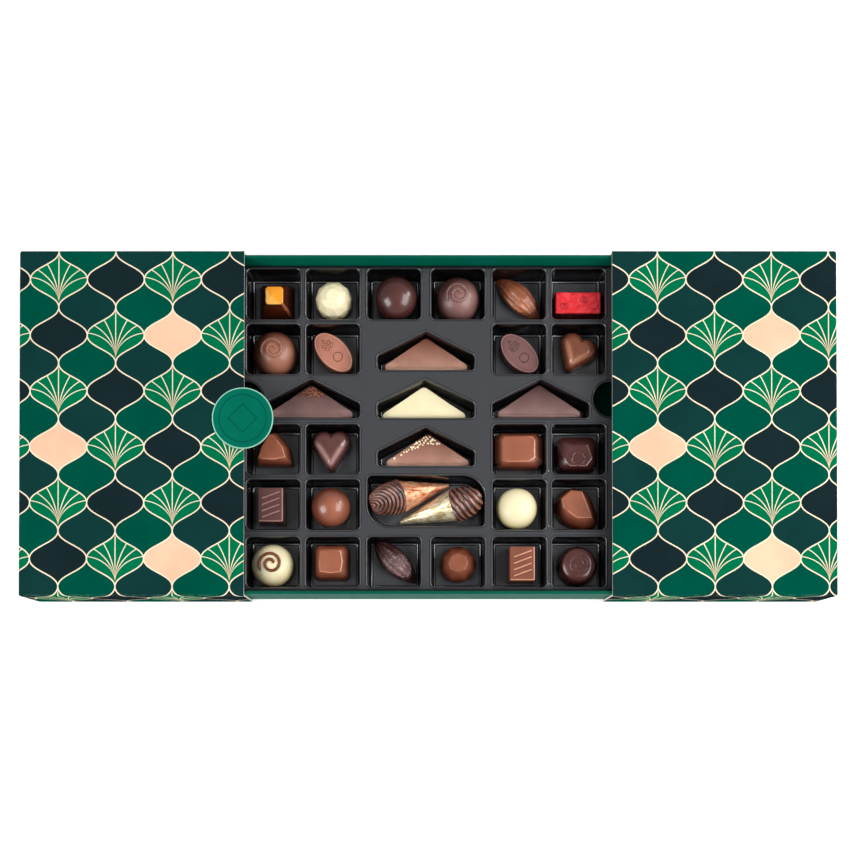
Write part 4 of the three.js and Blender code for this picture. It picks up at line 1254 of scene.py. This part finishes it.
brickOutline = roundedPolygon([(-13.6, -12.6), (13.6, -12.6), (17.4, -8.6), (17.4, 8.6), (13.6, 12.6),
                               (-13.6, 12.6), (-17.4, 8.6), (-17.4, -8.6)], 0.4, 3)
shieldOutline = roundedPolygon([(-13.3, -11.4), (13.3, -11.4), (11, 1.5), (0, 14), (-11, 1.5)],
                               [2, 2, 7, 3, 7], 12)

barOutline = rectangle(18.6, 25, 0.8, 4)
barSteps = [(0.3, 0), (0, 0.8), (0.7, 15.5), (1, 16), (1.6, 16)]

# Moulded pralines: outline, then steps of [inset, height] with the bends softened by "reach"; those with
# a "table" have flanks that run up to it
mouldedPieces = {
    "milk_heart": dict(at=cupPlace(6, 2, -0.1, 0.5), turn=-0.44, heart=(28, 26.6), reach=1.8, peak=0.3,
                       steps=[(1.2, 0), (0, 2.5), (0.7, 7.5), (3, 11.6), (6.2, 13.5)], finish="milkHeart"),
    "dark_heart": dict(at=cupPlace(2, 4, -1.9, 1.2), heart=(28, 29), reach=1.8, peak=0.3,
                       steps=[(1.2, 0), (0, 2.5), (0.7, 8), (3, 12.4), (6.2, 14.3)], finish="darkHeart"),
    "milk_shield": dict(at=cupPlace(1, 4, -0.4, 2.2), outline=shieldOutline,
                        steps=[(1, 0), (0, 2), (0.8, 8.5), (3, 13.4)], finish="milk",
                        table=[(-10.9, -7.3), (-0.3, -8.2), (7.9, -6.4), (5.8, 0.5), (-1.1, 9.1), (-3.1, 9.1),
                               (-8.5, 0.5)]),
    "milk_brick": dict(at=cupPlace(5, 4, 0.4, 1.3), outline=brickOutline,
                       steps=[(0.8, 0), (0, 1.6), (0.7, 8.4), (4.6, 13)], finish="milk",
                       table=[(-11.6, -7.6), (-9.5, -8.6), (6.8, -8.6), (10.8, -5.4), (10.8, 6.6), (8.2, 8.8),
                              (-9.8, 8.8), (-11.6, 6.8)]),
    "dark_ring": dict(at=cupPlace(6, 4, -0.1, -1.1), outline=rectangle(30.2, 25, 7, 10),
                      steps=[(1.2, 0), (0, 2.4), (1.2, 9), (7, 14)], finish="dark",
                      node="dark_ring_praline", rings=[(0.3, -4.2, 4.4, 1.0)],
                      table=[(-6.3, 4.3), (7, 4.6), (9.9, -4.4), (6, -9.6), (-5.4, -9.6), (-9.2, -4)]),
    "dark_bar": dict(at=cupPlace(1, 5, -2.2, 0.2), outline=barOutline, reach=0.5, steps=barSteps,
                     finish="dark", top="darkTop", ribs=4),
    "milk_bar": dict(at=cupPlace(5, 6, 2.2, -0.7), outline=barOutline, reach=0.5, steps=barSteps,
                     finish="milk", top="milkTop", ribs=4),
    "milk_teardrop": dict(at=cupPlace(6, 5, -1.6, 0.6), outline=teardrop(13.8, 20.6, -0.8),
                          steps=[(1, 0), (0, 2.2), (1.2, 6.4), (4, 12.8)], finish="milk",
                          table=[(-3, 10), (4.7, 9.3), (11.6, -8.8), (1.2, -8.8), (-7.8, -2.5), (-9.6, 4.4)]),
    "milk_square": dict(at=cupPlace(2, 6, -1.7, 1.2), outline=rectangle(25.4, 25.4, 5, 8),
                        steps=[(0.8, 0), (0, 1.6), (1.4, 10), (4.8, 14.6)], finish="milk",
                        table=[(-7.4, -7.2), (0, -8.3), (6.8, -7.4), (8.2, 0), (6.6, 7.2), (0, 7.9),
                               (-7.2, 7), (-8.2, 0)]),
    "dark_round": dict(at=cupPlace(6, 6, 0.6, -1.1), outline=ellipse(28.6, 28.6, 120), reach=0.8,
                       steps=[(0.8, 0), (0, 1.6), (1.4, 9.4), (2.9, 12.6), (5.6, 14)], finish="dark",
                       node="dark_round_praline", disc=True, rings=[(0, 0, 6.2, 0.6)]),
}


def barKind(kind, corners, topHeight):
    # side, top, or a painted highlight line: the right and front rims of the top and the crests of the ribs
    low = min(corner[2] for corner in corners)
    x, y = (sum(corner[axis] for corner in corners) / len(corners) for axis in (0, 1))
    if low < topHeight - 0.6:
        return 0
    if kind:
        return 2 if low > topHeight + 0.5 else 1
    return 2 if max(x - 7.7, -y - 10.9) > 0 else 1


def heartSheen(x, y, z, size, topHeight):
    # broad sheen along both lower flanks, and a weak one over the top
    _, tip, _, lobeY, tipY, flank = heartParts(*size)
    inside = tip + tipY * math.sin(flank) - abs(x) * math.cos(flank) - y * math.sin(flank)
    along = max(0.0, min(1.0, (lobeY - y) / 6)) * max(0.0, min(1.0, (y - tipY + 3) / 4))
    return 0.12 * max(0.0, z / topHeight - 0.6) + 0.6 * along * math.exp(-((inside - 3.7) / 1.5) ** 2)


def addMoulded(name, piece):
    topHeight = piece["steps"][-1][1]
    outline = heart(*piece["heart"]) if piece.get("heart") else piece["outline"]
    if piece.get("table"):
        parts = [facetedMesh(outline, piece["steps"][:-1], piece["table"], topHeight)]
    else:
        parts = [mouldedMesh(outline, piece["steps"], piece.get("peak", 0.0), piece["reach"])]
    materials = [chocolates[piece["finish"]]]
    for ringX, ringY, radius, bead in piece.get("rings", ()):
        parts.append(beadMesh(circlePath(ringX, ringY, radius, topHeight - bead * 0.4, 60), bead, 12, 1))
    if piece.get("disc"):
        spiral = [((0.8 + 3.6 * t) * math.cos(9.4 * t), (0.8 + 3.6 * t) * math.sin(9.4 * t), topHeight - 0.2)
                  for t in shares(70)]
        parts.append(beadMesh(spiral, 0.6, 10))
    for number in range(piece.get("ribs", 0)):
        y = (number - (piece["ribs"] - 1) / 2) * 4.4
        crest = [(t * 6.9, y + t * 2.6, topHeight - 0.25) for t in (i / 8 - 1 for i in range(17))]
        parts.append(beadMesh(crest, 1.0, 12, 2))
    points, faces, kinds = joinParts(*parts)
    kindName = "dark" if piece["finish"].startswith("dark") else "milk"
    # the lighter Edge look paints highlight lines
    edge = chocolates[kindName + "Edge"]
    if piece.get("top"):
        materials += [chocolates[piece["top"]], edge]
        kinds = [barKind(kind, [points[i] for i in face], topHeight) for kind, face in zip(kinds, faces)]
    elif piece.get("table"):
        materials.append(edge)
        kinds = [1 if number in parts[0][2] else 0 for number in range(len(faces))]
    else:
        kinds = [0] * len(faces)
    low = topHeight * 0.55

    # painted light: lighter towards the top, and on hearts a painted sheen on the flanks
    def bodyPaintedLight(x, y, z):
        if piece.get("heart"):
            return heartSheen(x, y, z, piece["heart"], topHeight)
        return max(0.0, (z - low) / (topHeight - low)) ** 2 * 0.6

    addPraline(name + "_body", piece, points, faces, materials, kindName + "_chocolate",
               piece.get("node", name), bodyPaintedLight, faceMaterials=kinds, uneven=0.1, angle=32)


for pieceName, pieceSizes in mouldedPieces.items():
    addMoulded(pieceName, pieceSizes)
print("single pralines made")

# Triangular slabs with their nibs
slabSizes = dict(width=66.4, depth=24, height=10, tip=3.4, point=1.6, edge=1.5, nibRise=0.45)
slabs = {
    "milk_triangle": dict(at=(-1.2, 54.8), finish="milkSlab", slot="milk_chocolate"),
    "white_triangle": dict(at=(-2.8, 20.6), finish="cream", slot="white_chocolate"),
    "dark_triangle": dict(at=(77.6, 22), finish="darkSatin", slot="dark_chocolate", ridge=True),
    "nib_triangle": dict(at=(-81.4, 21.8), finish="darkSatin", slot="dark_chocolate", nibs="cocoaNib",
                         band="tip", count=34, apart=1.55, size=1.25, seed=23),
    "gold_nib_triangle": dict(at=(-0.1, -12.4), finish="milkSlab", slot="milk_chocolate", nibs="goldNib",
                              band="slope", count=76, apart=1.5, sloping=0.45, lone=0.27, size=0.92, seed=41),
}


def grainMesh(x, y, z, size, draw):
    # one broken nib: a small lump with flat sides
    lumps, rings = [], 5
    stretch, turn = 0.7 + 0.3 * draw(), math.pi * draw()
    for ring in range(rings):
        angle = math.pi * (ring + 0.5) / rings - math.pi / 2
        for i in range(7):
            around = 2 * math.pi * i / 7
            reach = size * math.cos(angle) * (0.8 + 0.4 * draw())
            px, py = reach * math.cos(around), reach * math.sin(around) * stretch
            lumps.append((*turned(px, py, turn, (x, y)), z + size * 0.7 * math.sin(angle)))
    return lumps, ringFaces(7, rings)


def nibPlace(piece, draw):
    # a place in the patch below the tip, or in the band that runs down the left slope
    width, depth = slabSizes["width"], slabSizes["depth"]
    if piece["band"] == "tip":
        drop = 3.6 + 5.8 * draw()
        return (2 * draw() - 1) * (width / 2 / depth * drop - 3.6) + 0.6, depth / 2 - drop
    if draw() > piece["sloping"]:
        drop = 3.6 + 5.2 * draw()
        return (2 * draw() - 1.05) * (width / 2 / depth * drop - 3.0), depth / 2 - drop
    return slopePlace(0.38 + 0.48 * math.sqrt(draw()), draw())


def slopePlace(share, across):
    # a place beside the left slope, further in towards the tip
    width, depth = slabSizes["width"], slabSizes["depth"]
    slope = Vector((width / 2, depth))
    inward = Vector((slope.y, -slope.x)).normalized()
    place = Vector((-width / 2, -depth / 2)) + slope * share + inward * (1.6 + 6.5 * share ** 2 * across)
    return place.x, place.y


def nibPlaces(piece, draw):
    # nibs lie apart, so that each one shows
    places = [slopePlace(piece["lone"], 0.0)] if piece.get("lone") else []
    for _ in range(piece["count"] * 12):
        place = nibPlace(piece, draw)
        if all(math.dist(place, other) > piece["apart"] for other in places):
            places.append(place)
    return places[:piece["count"]]


def slabPaintedLight(x, share, z, sizes):
    # painted light: lighter towards the long edge, with a painted highlight line along it and a painted glint
    # near each end
    if share < 0.05 and z > sizes["height"] - 3.6:
        return 1.0 if abs(x) < 0.46 * sizes["width"] else 0.45
    if z < sizes["height"] - 2.4:
        return 0.1
    glint = math.exp(-((abs(x) - 0.39 * sizes["width"]) / 3) ** 2 - ((share - 0.14) / 0.09) ** 2)
    return max(0.0, min(1.0, 0.37 - 0.38 * share + 0.4 * glint))


def addSlab(name, piece, sizes):
    x, y = sizes["width"] / 2, sizes["depth"] / 2
    radii = [sizes["point"], sizes["point"], sizes["tip"]]
    outline = evenly(roundedPolygon([(-x, -y), (x, -y), (0, y)], radii, 8), 200)
    steps = [(0.4, 0), (0, 1), (0.3, sizes["height"] - sizes["edge"]), (sizes["edge"], sizes["height"])]
    parts = [mouldedMesh(outline, steps, 0.5, reach=1.1)]
    materials = [chocolates[piece["finish"]]]
    if piece.get("nibs"):
        draw = random.Random(piece["seed"]).random
        level = sizes["height"] + sizes["nibRise"]
        parts += [grainMesh(px, py, level, piece["size"] * (0.75 + 0.5 * draw()), draw)
                  for px, py in nibPlaces(piece, draw)]
        materials.append(chocolates[piece["nibs"]])
    if piece.get("ridge"):
        parts.append(beadMesh([(-0.6 + 0.5 * t, -y + 0.9 + 5.2 * t, sizes["height"] - 0.15 + 0.35 * t)
                               for t in shares(12)], 0.55, 10, 4))
    points, faces, kinds = joinParts(*parts)
    kinds = [min(kind, 1) if piece.get("nibs") else 0 for kind in kinds]
    strength = 0.15 if piece["finish"] == "cream" else 1.0
    addPraline(name + "_slab", piece, points, faces, materials, piece["slot"], name,
               lambda px, py, pz: strength * slabPaintedLight(px, (py + y) / sizes["depth"], pz, sizes),
               faceMaterials=kinds, uneven=0.2, angle=45)


for slabName, slabPiece in slabs.items():
    addSlab(slabName, slabPiece, slabSizes)

# Two foil cones on their sides, each with a piped swirl in its mouth
coneSizes = dict(mouth=11.6, tip=1.4, ridgeDepth=1.3, droop=0.5, gap=0.35, body=11.9)
cones = {
    "bronze_cone": dict(at=(14.4, -36.2), turn=math.pi + 0.28, length=36.6, swirl="left_swirl",
                        swirlLength=20, foil=bronzeLustre, slot="bronze_lustre", rose=(19.5, 3.4, 2.2)),
    "gold_cone": dict(at=(-19.2, -62.4), turn=0.26, length=40, swirl="right_swirl", swirlLength=18,
                      foil=goldLustre, slot="gold_lustre", twist=(5.0, -5.6)),
}


def addCone(name, piece, sizes, sides=96):
    climb = math.asin((sizes["mouth"] - sizes["tip"]) / piece["length"])
    foot = sizes["tip"] * math.cos(climb)

    def ring(px, pz, lean, radiusAt):
        found = []
        for k in range(sides):
            angle = 2 * math.pi * k / sides
            radius = radiusAt(angle)
            found.append((px - radius * math.sin(angle) * math.sin(lean), radius * math.cos(angle),
                          pz + radius * math.sin(angle) * math.cos(lean)))
        return found

    def wrapRadius(share, angle):
        # uneven foil; its wrapped edge shows as a step that runs up the cone
        cosine, sine = math.cos(angle), math.sin(angle)
        radius = sizes["tip"] + (sizes["mouth"] - sizes["tip"]) * share
        swell = noise.noise(Vector((share * 6, cosine * 2.5, sine * 2.5 + len(name))))
        crease = abs(noise.noise(Vector((share * 9, cosine * 7, sine * 7))))
        wrapEdge = max(0.0, min(1.0, 8 * math.sin(angle - 0.9 - share * 0.8)))
        return radius * (1 - 0.035 * swell - 0.05 * wrapEdge - 0.012 * crease)

    rings = []
    for share in shares(40):
        along = piece["length"] * share
        rings.append(ring(along * math.cos(climb), foot + along * math.sin(climb), climb,
                          lambda angle: wrapRadius(share, angle)))
    points = [(x, y, max(z, 0.0)) for x, y, z in joined(rings)]
    addPraline(name + "_wrap", piece, points, ringFaces(sides, len(rings)), piece["foil"], piece["slot"],
               name, uneven=0.05, angle=60)
    # swirl, drooping towards its end: arcs round a point near the end, or slanting ropes
    levels, rings, ridges = 150, [], []
    start = piece["length"] + sizes["gap"]
    x, z = start * math.cos(climb), foot + start * math.sin(climb)
    step = piece["swirlLength"] / levels

    def ridge(share, angle):
        if piece.get("rose"):
            endX, endSide, pitch = piece["rose"]
            here = Vector((share * piece["swirlLength"] - endX, sizes["body"] * math.cos(angle) - endSide,
                           0.6 * sizes["body"] * (math.sin(angle) - 0.75)))
            phase = here.length / pitch + math.atan2(here.y, here.x) / (2 * math.pi)
        else:
            ropes, slant = piece["twist"]
            phase = ropes * share + slant * angle / (2 * math.pi) * 1.25 + 0.4 * math.sin(3 * share)
        return abs(math.sin(math.pi * phase)) ** 0.7

    for share in shares(levels):
        lean = climb - sizes["droop"] * share
        body = sizes["body"] * math.sqrt(1 - 0.72 * share ** 2.2)
        rings.append(ring(x, z, lean, lambda angle: body - sizes["ridgeDepth"] * (1 - ridge(share, angle))))
        ridges += [ridge(share, 2 * math.pi * k / sides) for k in range(sides)]
        x += step * math.cos(lean)
        z += step * math.sin(lean)
    middle = (x, 0.0, z)
    for share in (0.35, 0.7, 0.95):
        push = (0.8 * share, 0, 0)
        rings.append([tuple(p[axis] + (middle[axis] - p[axis]) * share + push[axis] for axis in range(3))
                      for p in rings[levels]])
        ridges += [0.5] * sides
    shade = iter(ridges)

    def swirlTone(px, py, pz):
        # ropes catch the light along their crests, in patches
        patch = noise.noise(Vector((px, py, pz)) * 0.16) + 0.4
        return min(1.0, (0.35 + 1.1 * max(0.0, patch)) * next(shade) ** 4)

    points = [(px, py, max(pz, 0.0)) for px, py, pz in joined(rings)]
    addPraline(piece["swirl"] + "_cream", piece, points, ringFaces(sides, len(rings)), chocolates["swirl"],
               "milk_chocolate", piece["swirl"], swirlTone, uneven=0.1, angle=80)


for coneName, conePiece in cones.items():
    addCone(coneName, conePiece, coneSizes)
print("slabs and cones made")


# Floor, lights and camera

studio = dict(floorColour=(255, 255, 255), floorSize=6.0, floorDrop=0.0002, floorGlow=0.3, zenith=0.22,
              horizon=0.62)
softboxes = {
    "left softbox": dict(place=(-0.86, -0.36, 0.85), size=(0.72, 0.6), power=9.0),
    "right softbox": dict(place=(0.84, -0.12, 0.88), size=(1.0, 0.66), power=12.0),
    "right back softbox": dict(place=(0.98, 0.50, 0.60), size=(0.26, 0.26), power=2.6),
}


def buildStage(look):
    size = look["floorSize"]
    mesh = bpy.data.meshes.new("floor")
    corners = [(-size, -size, 0), (size, -size, 0), (size, size, 0), (-size, size, 0)]
    mesh.from_pydata(corners, [], [(0, 1, 2, 3)])
    floor = bpy.data.objects.new("floor", mesh)
    bpy.context.scene.collection.objects.link(floor)
    floor.location.z = -look["floorDrop"]
    material, tree, shader = newMaterial("pale floor")
    shader.inputs["Base Color"].default_value = linear(look["floorColour"])
    shader.inputs["Roughness"].default_value = 0.9
    shader.inputs["Emission Color"].default_value = (1, 1, 1, 1)
    shader.inputs["Emission Strength"].default_value = look["floorGlow"]
    mesh.materials.append(material)
    world = bpy.context.scene.world or bpy.data.worlds.new("studio")
    bpy.context.scene.world = world
    world.use_nodes = True
    tree = world.node_tree
    sky = tree.nodes["Background"]
    sky.inputs[0].default_value = (1, 1, 1, 1)
    upward = axesOf(tree, addShaderNode(tree, "ShaderNodeTexCoord").outputs["Generated"])[2]
    # the studio is dim overhead and bright low down, so flat tops keep their own colour
    feed(tree, sky.inputs[1], upward.spread(0.0, 0.9, look["horizon"], look["zenith"]))


def addSoftbox(name, box):
    # an area light that faces the middle of the box of pralines
    light = bpy.data.lights.new(name, "AREA")
    light.shape = "RECTANGLE"
    light.size, light.size_y = box["size"]
    light.energy = box["power"]
    lamp = bpy.data.objects.new(name, light)
    bpy.context.scene.collection.objects.link(lamp)
    lamp.location = box["place"]
    lamp.rotation_euler = (-Vector(box["place"])).to_track_quat("-Z", "Y").to_euler()


buildStage(studio)
for boxName, softbox in softboxes.items():
    addSoftbox(boxName, softbox)

cameraSetup = dict(place=(-6.1, -195.8, 750.5), tilt=0.63, lens=44.37, shift=(0.0103, 0.3182))


def placeCamera(setup):
    data = bpy.data.cameras.new("camera")
    camera = bpy.data.objects.new("camera", data)
    bpy.context.scene.collection.objects.link(camera)
    camera.location = [c * mm for c in setup["place"]]
    camera.rotation_euler = Euler((math.radians(setup["tilt"]), 0, 0))
    data.lens, data.sensor_width = setup["lens"], 36.0
    data.shift_x, data.shift_y = setup["shift"]
    data.clip_start, data.clip_end = 0.05, 20
    bpy.context.scene.camera = camera


placeCamera(cameraSetup)
bpy.context.scene.view_settings.view_transform = "Standard"
print("stage, lights and camera placed")

bpy.context.view_layer.update()
